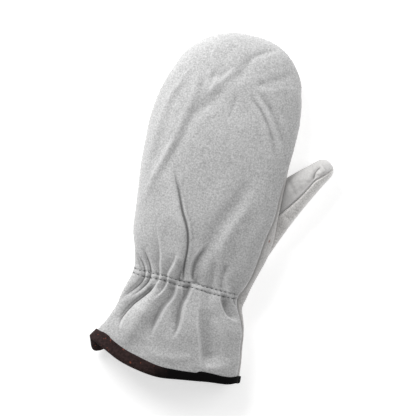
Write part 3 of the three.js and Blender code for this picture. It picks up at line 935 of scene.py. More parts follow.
def grid_faces(rows: int, columns: int, around: bool = False, closed: bool = False) -> Array:
    """Quads of a grid of vertices.

    Args:
        rows: How many rows it has.
        columns: How many columns.
        around: Whether the last column joins the first.
        closed: Whether the last row joins the first.

    Returns:
        The four vertices of each quad.
    """
    index = np.arange(rows * columns).reshape(rows, columns)
    index = np.pad(index, ((0, int(closed)), (0, int(around))), mode="wrap")
    corners = (index[:-1, :-1], index[:-1, 1:], index[1:, 1:], index[1:, :-1])
    return np.stack(corners, axis=-1).reshape(-1, 4)


def grid_rim(rows: int, columns: int) -> Array:
    """Vertices round the rim of a grid, with the first one again at the end.

    Args:
        rows: How many rows the grid has.
        columns: How many columns.

    Returns:
        The vertices' numbers, along the first row first.
    """
    index = np.arange(rows * columns).reshape(rows, columns)
    rim = np.concatenate([index[0, :-1], index[:-1, -1], index[-1, :0:-1], index[:0:-1, 0]])
    return np.append(rim, rim[0])


@dataclass
class FoldedBack:
    """The back's outer and inner faces: the hand's plain form, moved along its own normals by its folds."""

    form: HandForm
    folds: tuple[Fold, ...]
    fold_reach: float = 3.2
    shade_shift: float = 0.3
    shade_width: float = 0.7
    side_power: float = 9.0
    side_fullness: float = 0.8
    tip_share: float = 0.05
    broad: Waves = Waves(0.35, 38.0, 3)
    fine: Waves = Waves(0.06, 13.0, 5)
    groove_depth: float = 0.6
    groove_width: float = 0.9
    groove_power: float = 1.6
    groove_ends: Point = (-0.01, 0.02)
    row_distance: float = 4.0
    ridge_width: float = 3.0
    ridge_height: float = 0.15
    step: float = 0.002

    def __post_init__(self) -> None:
        """Works out the places of the two stitch rows."""
        self.rows = tuple(path_samples(row) for row in STITCH_ROWS)

    def fold_height(self, x: Array, y: Array) -> Array:
        """Sum of all folds' heights, each worked out near its own path only.

        Args:
            x: The places' x.
            y: The places' y.

        Returns:
            The rise in millimetres.
        """
        total = np.zeros(x.shape)
        for fold in self.folds:
            path = path_samples(fold.path)
            reach = self.fold_reach * fold.spread
            low = path.min(axis=0) - reach
            high = path.max(axis=0) + reach
            near = (x > low[0]) & (x < high[0]) & (y > low[1]) & (y < high[1])
            total[near] += fold.height(x[near], y[near])
        return total

    def painted_shade(self, x: Array, y: Array) -> Array:
        """Painted shade: thin dark lines along the sharpest folds, where shadow falls into them.

        Args:
            x: The places' x.
            y: The places' y.

        Returns:
            Depth of the painted shade from 0 to 1.
        """
        total = np.zeros(x.shape)
        for fold in self.folds:
            if fold.shade:
                away, ends = fold.reach(x, y)
                line = bump(away + self.shade_shift, self.shade_width)
                total = np.maximum(total, fold.shade * ends * line)
        return total

    def relief(self, across: Array, along: Array, x: Array, y: Array) -> Array:
        """How far the leather stands off its plain form.

        Folds and slow undulations fade towards the seams. Two grooves follow the stitch rows, with a low
        ridge between them.

        Args:
            across: From -1 at the left seam to 1 at the thumb side's seam.
            along: From 0 at the hem to 1 at the fingertips.
            x: The same places' x.
            y: Their y.

        Returns:
            The rise of each place in millimetres.
        """
        side = rounded(np.abs(across), self.side_power, self.side_fullness)
        tip = rounded(1 - (1 - along) / self.tip_share, 2.0, 1.0)
        slow = self.broad.at(x, y) + self.fine.at(x, y)
        rise = (self.fold_height(x, y) + slow) * side * tip
        both = 0.0
        for path in self.rows:
            away, share = path_distance(x, y, path)
            groove = self.groove_depth * bump(away, self.groove_width, self.groove_power)
            rise = rise - groove * smooth(share, *self.groove_ends)
            both = both + np.abs(away)
        return rise + self.ridge_height * bump(both - self.row_distance, self.ridge_width)

    def place(self, across: Array, along: Array, inset: Array) -> Array:
        """Places on the back, at an inset from its outer face, with the folds.

        Args:
            across: From -1 to 1.
            along: From 0 to 1.
            inset: Distance inside the outer face.

        Returns:
            Places, with the coordinates on the last axis.
        """
        step = self.step
        base = self.form.back(across, along, 0.0)
        sideways = self.form.back(np.minimum(across + step, 1), along, 0.0)
        sideways = sideways - self.form.back(np.maximum(across - step, -1), along, 0.0)
        lengthways = self.form.back(across, np.minimum(along + step, 1), 0.0)
        lengthways = lengthways - self.form.back(across, np.maximum(along - step, 0), 0.0)
        out = np.cross(sideways, lengthways)
        out /= np.maximum(np.linalg.norm(out, axis=-1, keepdims=True), LEAST_NORMAL)
        rise = self.relief(across, along, base[..., 0], base[..., 1])
        return self.form.back(across, along, inset) + out * rise[..., None]


PUCKER = Waves(0.16, 4.6, 11)  # the puckers beside a seam


def under_binding(along: Array) -> Array:
    """Distance in millimetres that keeps a seam from drawing in where the binding holds the hem flat."""
    return BINDING_HOLD * (1 - smooth(along, *BINDING_END))


def seam_dip(points: Array, away: Array, depth: float, width: float, fall: Array) -> Array:
    """Draws a panel's edges in at its seams, level and square to the surface, or down where it rolls over.

    The shift is depth * exp(-(distance / width) ** 2), with small puckers that a lockstitch makes along the
    seam.

    Args:
        points: Grid of places.
        away: Distance of each from the nearest seam.
        depth: Shift at the seam itself.
        width: Distance over which it fades.
        fall: Share of the shift that goes down, from 0 to 1.

    Returns:
        The shifted places.
    """
    out = facing(points)
    level = out * np.array([1.0, 1.0, 0.0])
    level /= np.maximum(np.linalg.norm(level, axis=-1, keepdims=True), LEAST_LEVEL)
    level = mix(level, np.array(SEAM_ROLL), fall[..., None])
    pucker = PUCKER.at(points[..., 0] + points[..., 2], points[..., 1]) * bump(away, PUCKER_REACH)
    shift = depth * bump(away, width)
    return points - level * shift[..., None] + out * (pucker * (1 - bump(away, PUCKER_START)))[..., None]


def nap_wear_and_shade(points: Array, scale: float = 2.0) -> Array:
    """Rubbed nap and painted shade from the surface's bend: above nought on ridges, below it in creases.

    It is the height of each place over the middle of its four neighbours, a few cells away.

    Args:
        points: Grid of places.
        scale: Bend in millimetres that counts as the full effect.

    Returns:
        Rubbed lightening above nought and painted shade below it, from -1 to 1.
    """
    out = facing(points)
    reach = WEAR_CELLS
    padded = np.pad(points, ((reach, reach), (reach, reach), (0, 0)), mode="edge")
    middle = padded[reach:-reach, reach:-reach]
    sides = padded[reach:-reach, 2 * reach :] + padded[reach:-reach, : -2 * reach]
    ends = padded[2 * reach :, reach:-reach] + padded[: -2 * reach, reach:-reach]
    bend = ((middle * 4 - sides - ends) * out).sum(axis=-1)
    bend[:reach] = 0
    bend[-reach:] = 0
    bend[:, :reach] = 0
    bend[:, -reach:] = 0
    return np.clip(bend / scale, -1, 1)


@dataclass
class BackPanel:
    """Back of the mitt: one panel of split leather with its folds, gathers and stitch grooves."""

    surface: FoldedBack
    material: bpy.types.Material
    wall: float = 2.0
    columns: int = 210
    rim: float = 1.9 / HAND.length
    rows: tuple[tuple[float, int], ...] = ((0.19, 64), (0.36, 92), (0.82, 120), (1.0, 54))
    roll_side: Point = (0.3, 0.9)
    seam_gap: float = 0.15
    seam_depth: float = 1.0
    seam_width: float = 1.5
    # Painted shade along the seams, where shadow falls into them, fading out towards the fingertips.
    seam_shade: float = 0.6
    shade_width: float = 1.0
    shade_end: Point = (0.5, 0.6)

    def grid(self) -> tuple[Array, Array]:
        """Places of the panel's rows and columns, in shares of its width and length."""
        return np.meshgrid(crowded(self.columns + 1), stretches(self.rim, self.rows))

    def build(self) -> bpy.types.Object:
        """Makes the panel with its outer and inner face.

        Returns:
            The object.
        """
        across, along = self.grid()
        outer = self.surface.place(across, along, 0.0)
        away = edge_distance(outer, (True, True, False, True)) + under_binding(along)
        inner = self.surface.place(across[::2, ::2], along[::2, ::2], self.wall)
        fall = self.surface.form.fall(along, smooth(across, *self.roll_side))
        drawn = seam_dip(outer, away, self.seam_depth, self.seam_width, fall)
        inner = inner + (drawn - outer)[::2, ::2]
        lift = np.array([0.0, 0.0, self.seam_gap])
        panel = leather_sheet("back_of_hand", drawn + lift, inner + lift)
        # The bend lightens ridges, where the nap is rubbed, and darkens creases as painted shade.
        set_attribute(panel, "wear_and_shade", nap_wear_and_shade(outer))
        # Painted shade: dark lines along the sharpest folds and along the seams.
        painted_shade = self.surface.painted_shade(outer[..., 0], outer[..., 1])
        seam = self.seam_shade * bump(away, self.shade_width) * (1 - smooth(along, *self.shade_end))
        set_attribute(panel, "painted_shade", np.maximum(painted_shade, seam))
        return panel

    def dress(self) -> None:
        """Builds the panel and lets it stand for its solid."""
        adopt(self.build(), "back_panel", self.material)


@dataclass(frozen=True)
class ThumbForm:
    """Form of the thumb, in millimetres: rounded rectangles along a line that leaves the side of the palm.

    Its root is given by shares of half the hand's width and of the mitt's length.
    """

    length: float = 97.5
    width: float = 42.0
    thickness: float = 26.0
    tip_depth: float = 9.0
    clearance: float = 0.3
    angle: float = float(np.radians(51.5))
    root: Point = (0.57 * HAND.hand_width / 2, 0.437 * HAND.length)
    power: float = 2.4

    def middle(self, at: Array, inset: float) -> tuple[Array, Array, Array, Array]:
        """Middle and half sizes of the thumb's section.

        Args:
            at: Shares of the thumb's length.
            inset: Distance inside the outer face.

        Returns:
            How far the middle lies off the thumb's line, the half width, its height and the half height.
        """
        finger = self.width * THUMB_SECTIONS.read("finger_side", at) - inset
        outer = self.width * THUMB_SECTIONS.read("outer_side", at) + inset
        under = self.clearance + self.thickness * THUMB_SECTIONS.read("under", at) + inset
        top = self.thickness * THUMB_SECTIONS.read("top", at) - inset
        turn = np.clip((at - (1 - self.tip_depth / self.length)) * self.length / self.tip_depth, 0, 1)
        full = rounded(turn, self.power, 1 / self.power)
        return (finger + outer) / 2, (finger - outer) / 2 * full, (under + top) / 2, (top - under) / 2 * full

    def place(self, angle: Array, at: Array, inset: float = 0.0) -> Array:
        """Places on the thumb, by the angle round its section from the finger side over the top.

        A section is a superellipse: off = middle + half width * sign(cos) * |cos| ** (2 / power), and its
        height the same with the sine.

        Args:
            angle: Angle round the section.
            at: Share of the thumb's length.
            inset: Distance inside the outer face.

        Returns:
            Places, with the coordinates on the last axis.
        """
        off_middle, half_width, height, half_height = self.middle(at, inset)
        soft = 2 / self.power
        wide = np.cos(angle)
        high = np.sin(angle)
        off = off_middle + half_width * np.sign(wide) * np.abs(wide) ** soft
        up = height + half_height * np.sign(high) * np.abs(high) ** soft
        run = at * (self.length - inset)
        x = self.root[0] + run * np.cos(self.angle) - off * np.sin(self.angle)
        y = self.root[1] + run * np.sin(self.angle) + off * np.cos(self.angle)
        return np.stack(np.broadcast_arrays(x, y, up), axis=-1)

    def seam_angle(self, at: Array, shift: float) -> Array:
        """Angle at which the seam crosses the top of the thumb's section.

        Args:
            at: Shares of the thumb's length.
            shift: How far the place lies to the finger side of the seam, in millimetres.

        Returns:
            The angle at each share.
        """
        middle, half_width, _, _ = self.middle(at, 0.0)
        off = self.width * THUMB_SEAM.read("off", at) + shift
        part = np.clip((off - middle) / np.maximum(half_width, TINY), -1, 1)
        return np.arccos(np.sign(part) * np.abs(part) ** (self.power / 2))

    def covers(self, x: Array, y: Array, z: Array, inset: float) -> Array:
        """Whether places lie inside the thumb.

        Args:
            x: The places' x.
            y: The places' y.
            z: The places' z.
            inset: Distance inside the outer face at which the inside begins.

        Returns:
            True for each place inside.
        """
        dx = x - self.root[0]
        dy = y - self.root[1]
        run = dx * np.cos(self.angle) + dy * np.sin(self.angle)
        off = dy * np.cos(self.angle) - dx * np.sin(self.angle)
        at = run / (self.length - inset)
        middle, half_width, height, half_height = self.middle(np.clip(at, 0, 1), inset)
        wide = np.abs(off - middle) / np.maximum(half_width, TINY)
        high = np.abs(z - height) / np.maximum(half_height, TINY)
        return (wide**self.power + high**self.power < 1) & (at > 0) & (at < 1)


THUMB = ThumbForm()

PALM_FOLDS: tuple[Fold, ...] = (
    Fold(-1.2, 4.0, ((-44, 60), (-38, 48), (-34, 36), (-33, 24))),
    Fold(-1.5, 5.0, ((-28, 70), (-25, 50), (-22, 32), (-25, 10))),
    Fold(-1.3, 4.0, ((-6, 58), (-8, 42), (-7, 24), (-10, 0))),
    Fold(-1.5, 5.0, ((14, 66), (12, 48), (13, 30), (10, 6))),
    Fold(-1.2, 4.5, ((32, 62), (28, 44), (27, 26), (30, 2))),
    Fold(-1.3, 10.0, ((50, 84), (36, 98), (18, 112), (2, 130), (-8, 150))),
    Fold(-0.8, 9.0, ((-46, 160), (-24, 164), (2, 161), (26, 152))),
)
"""Gathers of the palm at the wrist, and two soft folds where the hand closes, by the same kind of paths."""


@dataclass
class PalmPanel:
    """Palm of the mitt: a panel that comes up round both sides, with the hole that the thumb is sewn into."""

    form: HandForm
    thumb: ThumbForm
    material: bpy.types.Material
    edge_wear: float = 1.6
    edge_wear_width: float = 2.2
    wall: float = 2.0
    columns: int = 176
    rim: float = 4.2 / HAND.length
    rows: tuple[tuple[float, int], ...] = ((0.07, 14), (0.36, 70), (0.7, 90), (0.9, 40), (1.0, 36))
    broad: Waves = Waves(0.25, 30.0, 21)
    fine: Waves = Waves(0.1, 11.0, 23)
    settle: float = 0.3
    under: Point = (14.0, 2.0)
    seam_clear: Point = (4, 20)
    hem_clear: Point = (0.04, 0.1)
    seam_depth: float = 1.0
    seam_width: float = 1.5
    hole_inset: float = 1.0

    def build(self) -> bpy.types.Object:
        """Makes the panel as one face with a wall under it, less the cells inside the thumb's root.

        Its relief only goes inwards, and fades towards the sides' height, the seams and the hem.

        Returns:
            The object.
        """
        share = np.linspace(0, 1, self.columns + 1)
        around, along = np.meshgrid(share, stretches(self.rim, self.rows))
        plain = self.form.palm(around, along, 0.0)
        x, y, z = plain[..., 0], plain[..., 1], plain[..., 2]
        away = edge_distance(plain, (True, True, False, True)) + under_binding(along)
        rise = sum(fold.height(x, y) for fold in PALM_FOLDS)
        rise = rise + self.broad.at(x, y) + self.fine.at(x, y + z) - self.settle
        rise = np.minimum(rise, 0) * smooth(z, *self.under) * smooth(away, *self.seam_clear)
        rise = rise * smooth(along, *self.hem_clear)
        outer = plain + facing(plain) * rise[..., None]
        fall = self.form.fall(along, around < 0.5)
        drawn = seam_dip(outer, away, self.seam_depth, self.seam_width, fall)
        drawn[..., 2] = np.maximum(drawn[..., 2], 0.0)
        middle = (plain[:-1, :-1] + plain[1:, 1:]) / 2
        hole = self.thumb.covers(middle[..., 0], middle[..., 1], middle[..., 2], self.hole_inset)
        keep = ~(hole & (middle[..., 0] > self.thumb.root[0]))
        faces = grid_faces(*drawn.shape[:2])[keep.reshape(-1)]
        panel = mesh_from_faces("palm", drawn.reshape(-1, 3), faces.tolist())
        rubbed = self.edge_wear * bump(away, self.edge_wear_width) * (around < 0.5)
        # The bend adds painted shade in the palm's creases; the lighter edge on the thumb side is rubbed nap.
        set_attribute(panel, "wear_and_shade", nap_wear_and_shade(outer) + rubbed)
        drop_loose(panel)
        thicken(panel, self.wall)
        return panel

    def dress(self) -> None:
        """Builds the panel and lets it stand for its solid."""
        adopt(self.build(), "palm_panel", self.material)


def drop_loose(piece: bpy.types.Object) -> None:
    """Removes the vertices that no face uses.

    Args:
        piece: The piece, whose mesh is changed.
    """
    mesh = bmesh.new()
    mesh.from_mesh(piece.data)
    bmesh.ops.delete(mesh, geom=[vertex for vertex in mesh.verts if not vertex.link_faces], context="VERTS")
    mesh.to_mesh(piece.data)
    mesh.free()


class ThumbSide(Enum):
    """The two pieces of the thumb."""

    INNER = "finger side"
    OUTER = "outer side"


THUMB_FOLDS: tuple[Fold, ...] = (
    Fold(
        -1.5, 1.5,
        ((85.3, 137.5), (85, 140), (84.8, 144), (86, 147.5), (88.5, 150.5)),
        CREASE, fade_in=0.0, fade_out=0.2,
    ),
    Fold(0.9, 3.2, ((89, 143), (89.5, 147), (92, 150))),
    Fold(0.6, 3.0, ((80.5, 136), (81, 141), (83, 146))),
    Fold(-0.6, 2.2, ((66, 135), (68, 130), (71, 127), (73, 121))),
    Fold(-0.4, 2.5, ((74, 137), (75, 131), (78, 128))),
    Fold(-0.5, 2.4, ((70, 100), (74, 106), (79, 113))),
)
"""Small creases of the thumb, by the same kind of paths."""


@dataclass
class Thumb:
    """Thumb of two pieces, sewn to each other along its length and to the palm's side round its root.

    Its tip starts at a share of the length in the inner piece, and a share before the end in the outer one.
    """

    form: ThumbForm
    hand: HandForm
    wall: float = 2.0
    clearance: float = 0.1
    columns: int = 96
    rows: tuple[tuple[float, int], ...] = ((0.82, 110), (1.0, 40))
    root_stretch: tuple[float, float, int] = (0.0, 0.9, 700)
    tail: tuple[float, float, int] = (0.9, 1.0, 2001)
    rounds: int = 6
    seam_gap: float = 0.15
    seam_depth: float = 0.9
    seam_width: float = 0.7
    root_depth: float = 0.1
    # Painted shade on the finger side, darker towards the thumb's root and gone over these shares of its
    # length.
    root_shade: float = 0.28
    shade_end: Point = (0.45, 0.85)
    relief: Waves = Waves(0.12, 14.0, 31)
    top_edge: float = 0.5
    tip_edge: float = 0.06
    seam_clear: Point = (0.5, 4.0)
    tip_starts: Point = (0.975, 0.01)
    wear_and_shade_scale: float = 1.2

    def root_share(self, angle: Array, inset: float) -> Array:
        """Where the thumb comes out of the palm's side.

        Args:
            angle: Angles round the thumb.
            inset: Distance inside its outer face.

        Returns:
            The share of the length for each angle.
        """
        at = np.linspace(*self.root_stretch)
        ring = self.form.place(angle[None, :], at[:, None], inset)
        outside = ring[..., 0] - self.hand.side_x(ring[..., 1], ring[..., 2]) > self.clearance
        last_inside = len(at) - 1 - np.argmax(~outside[::-1], axis=0)
        start = at[np.minimum(last_inside + 1, len(at) - 1)]
        return np.where(outside.all(axis=0), 0.0, start)

    def grid(self, side: ThumbSide, inset: float, step: int) -> tuple[Array, Array]:
        """Angles and shares of the length for one face of a piece.

        The angle at each row runs between the seam on top and the seam below. Each column starts where it
        comes out of the palm. The outer piece ends where the seam passes round the tip.

        Args:
            side: Which piece.
            inset: Which face, by its distance inside the outer one.
            step: 1 for all rows and columns, or 2 for every second one.

        Returns:
            The angles and the shares.
        """
        share = np.linspace(0, 1, self.columns + 1)[::step]
        across, run = np.meshgrid(share, stretches(0.0, self.rows)[::step])
        tail = np.linspace(*self.tail)
        passed = self.form.seam_angle(tail, -self.seam_gap) > np.pi - LEAST_TURN
        crossing = tail[np.argmax(passed)]
        last = 1.0 if side is ThumbSide.INNER else crossing
        at = run * last
        for _ in range(self.rounds):
            if side is ThumbSide.INNER:
                edge = self.form.seam_angle(at, self.seam_gap)
                angle = mix(-edge, edge, across)
            else:
                edge = self.form.seam_angle(at, -self.seam_gap)
                angle = mix(edge, 2 * np.pi - edge, across)
            first = self.root_share(angle[0], inset)
            at = mix(first[None, :], last, run)
        return angle, at

    def build(self, side: ThumbSide) -> bpy.types.Object:
        """Makes one of the two pieces as a closed sheet, with its creases and drawn-in seams.

        Args:
            side: Which piece.

        Returns:
            The object.
        """
        angle, at = self.grid(side, 0.0, 1)
        plain = self.form.place(angle, at)
        away = edge_distance(plain, (True, True, False, False))
        root = edge_distance(plain, (False, False, True, False))
        x, y = plain[..., 0], plain[..., 1]
        rise = sum(fold.height(x, y) for fold in THUMB_FOLDS) + self.relief.at(x, y)
        top = smooth(np.sin(angle), 0.0, self.top_edge) * smooth(1 - at, 0.0, self.tip_edge)
        tip = np.array([np.cos(self.form.angle), np.sin(self.form.angle), 0.0])
        near_tip = smooth(at, self.tip_starts[0], 1.0)
        if side is ThumbSide.OUTER:
            near_tip = smooth(at, at.max() - self.tip_starts[1], at.max())
        out = mix(facing(plain), tip, near_tip[..., None])
        dip = self.seam_depth * bump(away, self.seam_width) + self.root_depth * bump(root, self.seam_width)
        shift = rise * top * smooth(away, *self.seam_clear) - dip * (1 - near_tip)
        outer = plain + out * shift[..., None]
        inner = self.form.place(*self.grid(side, self.wall, 2), self.wall)
        inner = inner + (out * shift[..., None])[::2, ::2]
        name = "thumb_finger_side" if side is ThumbSide.INNER else "thumb_outer_side"
        piece = leather_sheet(name, outer, inner)
        # The bend lightens ridges, where the nap is rubbed, and darkens creases as painted shade.
        set_attribute(piece, "wear_and_shade", nap_wear_and_shade(outer, self.wear_and_shade_scale))
        # Painted shade on the finger side, darker towards the thumb's root, where the hand shades it.
        if side is ThumbSide.INNER:
            set_attribute(piece, "painted_shade", self.root_shade * (1 - smooth(at, *self.shade_end)))
        close_poles(piece)
        return piece

    def dress(self, inner: bpy.types.Material, outer: bpy.types.Material) -> None:
        """Builds both pieces and lets them stand for their solids."""
        adopt(self.build(ThumbSide.INNER), "thumb_inner", inner)
        adopt(self.build(ThumbSide.OUTER), "thumb_outer", outer)


BINDING_TOP = Chart(
    ("at", "width"),
    (
        (-1.0, 9.4), (-0.95, 10.2), (-0.9, 11.4), (-0.84, 11.6), (-0.79, 10.8), (-0.75, 10.6), (-0.68, 10.7),
        (-0.53, 10.8), (-0.38, 10.8), (-0.22, 10.2), (-0.07, 9.6), (0.08, 9.1), (0.23, 8.2), (0.38, 7.7),
        (0.44, 7.7), (0.48, 9.1), (0.62, 8.4), (0.77, 7.3), (0.92, 6.9), (1.0, 6.8),
    ),
)
"""Width of the binding on the back, from the left side at -1 to the right side at 1, in millimetres."""


@dataclass
class CuffBinding:
    """Strip of thin leather folded over the hem of both panels and carried round the whole rim.

    Its widths on the palm are those at the thumb side and at the left. The corner is its place round the palm
    and its spread.
    """

    surface: FoldedBack
    material: bpy.types.Material
    wall: float = 2.0
    leather: float = 1.3
    clearance: float = 0.3
    back_count: int = 200
    palm_count: int = 120
    width: float = 9.0
    palm_widths: Point = (6.8, 9.4)
    corner_room: float = 3.0
    corner: Point = (0.95, 0.06)
    turn_steps: int = 13
    lip_steps: int = 7

    def straight(self, inset: float, start: float, end: float) -> Array:
        """Level stretch of the profile between two shares of the width, without its ends."""
        flat = np.linspace(0, 1, self.lip_steps)[1:-1]
        return np.stack([np.full(flat.shape, inset), mix(start, end, flat)], axis=-1)

    def arc(self, centre: Point, size: float, angles: Array) -> Array:
        """Round stretch of the profile, about a centre of inset and share, with a size in millimetres."""
        share = centre[1] + size * np.sin(angles) / self.width
        return np.stack([centre[0] + size * np.cos(angles), share], axis=-1)

    def profile(self) -> Array:
        """Section of the folded strip, as rows of inset and of share of the width.

        It goes up the outer face, over the edge, down inside to the hem, round it, and back over the inner
        face. The shares are heights over the width, apart from the round bottom, whose radius is half the
        strip's full thickness.

        Returns:
            The rows, once round the section.
        """
        reach = self.leather + self.clearance
        middle = self.wall / 2
        radius = middle + reach
        hollow = middle + self.clearance
        turn = np.linspace(0, np.pi, self.turn_steps)
        edge = np.linspace(0, np.pi, self.lip_steps)
        lip = self.leather / 2
        base = radius / self.width
        top = 1 - lip / self.width
        left = middle - radius
        right = middle + radius
        return np.concatenate(
            [
                self.straight(left, base, top),
                self.arc((left + lip, top), lip, np.pi - edge),
                self.straight(left + self.leather, top, base),
                self.arc((middle, base), hollow, np.pi + turn),
                self.straight(right - self.leather, base, top),
                self.arc((right - lip, top), lip, np.pi - edge),
                self.straight(right, top, base),
                self.arc((middle, base), radius, -turn),
            ]
        )

    def build(self) -> bpy.types.Object:
        """Makes the binding as one closed ring of its profile.

        Its inner leaf stands further in at the left corner, where the palm comes up to the back.

        Returns:
            The object.
        """
        profile = self.profile()
        inset = profile[:, :1]
        share = profile[:, 1:]
        form = self.surface.form
        across = crowded(self.back_count)[None, :]
        back_along = share * BINDING_TOP.read("width", across) / form.length
        back = self.surface.place(*np.broadcast_arrays(across, back_along, inset))
        around = np.linspace(0, 1, self.palm_count + 2)[None, 1:-1]
        palm_along = share * mix(*self.palm_widths, around) / form.length
        corner = self.corner_room * bump(around - self.corner[0], self.corner[1]) * (inset > self.wall / 2)
        palm = form.palm(*np.broadcast_arrays(around, palm_along, inset + corner))
        ring = np.concatenate([back, palm], axis=1)
        ring[..., 2] = np.maximum(ring[..., 2], 0.0)
        faces = grid_faces(*ring.shape[:2], around=True, closed=True)
        return mesh_from_faces("hem_binding", ring.reshape(-1, 3), faces.tolist())

    def dress(self) -> None:
        """Builds the binding and lets it stand for its solid."""
        adopt(self.build(), "cuff_binding", self.material)


@dataclass
class WristStitching:
    """Two rows of lockstitches that hold the gathers: threads that sink into the leather at their ends.

    Lengths are the least and the greatest share of the length. The arch is a thread's rise over the leather,
    its drop at the ends, and the power of the drop. The taper is the power and the fullness of its ends.
    """

    surface: FoldedBack
    material: bpy.types.Material
    pitch: float = 3.9
    length: float = 2.7
    thread: float = 0.3
    sides: int = 8
    steps: int = 9
    seed: int = 8
    first: float = 0.6
    uneven: float = 0.25
    lengths: Point = (0.88, 1.08)
    drift: float = 0.15
    arch: tuple[float, float, float] = (0.2, 0.8, 2.6)
    taper: Point = (6.0, 0.5)
    ground_along: tuple[float, float, int] = (0.2, 0.34, 90)
    ground_across: int = 261
    steepest: float = 0.3

    def ground(self, x: Array, y: Array, grid: Array) -> Array:
        """Height of the panel under places: the plane through its nearest grid place, square to its normal.

        Args:
            x: The places' x.
            y: The places' y.
            grid: Grid of places on the panel.

        Returns:
            The height of each place.
        """
        out = facing(grid).reshape(-1, 3)
        flat = grid.reshape(-1, 3)
        near = ((x[:, None] - flat[None, :, 0]) ** 2 + (y[:, None] - flat[None, :, 1]) ** 2).argmin(axis=1)
        place = flat[near]
        normal = out[near]
        slope = normal[:, 0] * (x - place[:, 0]) + normal[:, 1] * (y - place[:, 1])
        return place[:, 2] - slope / np.maximum(normal[:, 2], self.steepest)

    def build(self) -> bpy.types.Object:
        """Makes all stitches as one piece: round threads along short arcs that follow the leather.

        The arc of a thread is its rise less its drop * |2 * share - 1| ** power, over the leather's height.

        Returns:
            The object.
        """
        across, along = np.meshgrid(np.linspace(-1, 1, self.ground_across), np.linspace(*self.ground_along))
        grid = self.surface.place(across, along, 0.0)
        random = np.random.default_rng(self.seed)
        share = np.linspace(0, 1, self.steps)
        off_middle = np.abs(2 * share - 1)
        turn = np.linspace(0, 2 * np.pi, self.sides, endpoint=False)
        rise, drop, power = self.arch
        places = []
        faces = []
        for path in self.surface.rows:
            steps = np.linalg.norm(np.diff(path, axis=0), axis=1)
            run = np.insert(np.cumsum(steps), 0, 0.0)
            starts = np.arange(self.first, run[-1] - self.length, self.pitch)
            starts = starts + random.uniform(-self.uneven, self.uneven, starts.shape)
            size = self.length * random.uniform(*self.lengths, starts.shape)
            at = starts[:, None] + size[:, None] * share[None, :]
            drift = random.uniform(-self.drift, self.drift, starts.shape)[:, None]
            x = np.interp(at, run, path[:, 0])
            y = np.interp(at, run, path[:, 1]) + drift
            arch = rise - drop * off_middle**power
            z = self.ground(x.reshape(-1), y.reshape(-1), grid).reshape(x.shape) + arch[None, :]
            centre = np.stack([x, y, z], axis=-1)
            ahead = np.gradient(centre, axis=1)
            ahead /= np.linalg.norm(ahead, axis=-1, keepdims=True)
            side = np.cross(np.array([0.0, 0.0, 1.0]), ahead)
            side /= np.linalg.norm(side, axis=-1, keepdims=True)
            over = np.cross(ahead, side)
            full = self.thread * rounded(off_middle, *self.taper)[None, :, None, None]
            wheel = side[:, :, None] * np.cos(turn)[None, None, :, None]
            wheel = wheel + over[:, :, None] * np.sin(turn)[None, None, :, None]
            rings = centre[:, :, None] + wheel * full
            quads = grid_faces(self.steps, self.sides, around=True)
            count = sum(len(part) for part in places)
            shift = count + np.arange(len(starts))[:, None, None] * self.steps * self.sides
            faces.append((quads[None] + shift).reshape(-1, 4))
            places.append(rings.reshape(-1, 3))
        piece = mesh_from_faces("wrist_stitches", np.concatenate(places), np.concatenate(faces).tolist())
        close_poles(piece)
        return piece

    def dress(self) -> None:
        """Builds the stitches, which ride on the mitt and stand for no solid."""
        piece = self.build()
        piece.data.materials.append(self.material)
        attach(piece, "root")
        log.info("%s has %d faces", piece.name, len(piece.data.polygons))


class Socket(Enum):
    """Kinds of group socket, by Blender's names."""

    COLOUR = "NodeSocketColor"
    NUMBER = "NodeSocketFloat"
    VECTOR = "NodeSocketVector"


def new_group(name: str, inputs: dict[str, Socket], outputs: dict[str, Socket]) -> bpy.types.NodeTree:
    """Makes an empty shader group with named sockets.

    Args:
        name: Name of the group.
        inputs: Its inputs.
        outputs: Its outputs.

    Returns:
        The group's tree, with its input and output node.
    """
    tree = bpy.data.node_groups.new(name, "ShaderNodeTree")
    for label, kind in inputs.items():
        tree.interface.new_socket(label, in_out="INPUT", socket_type=kind.value)
    for label, kind in outputs.items():
        tree.interface.new_socket(label, in_out="OUTPUT", socket_type=kind.value)
    tree.nodes.new("NodeGroupInput").name = "in"
    tree.nodes.new("NodeGroupOutput").name = "out"
    return tree


Output = bpy.types.NodeSocket


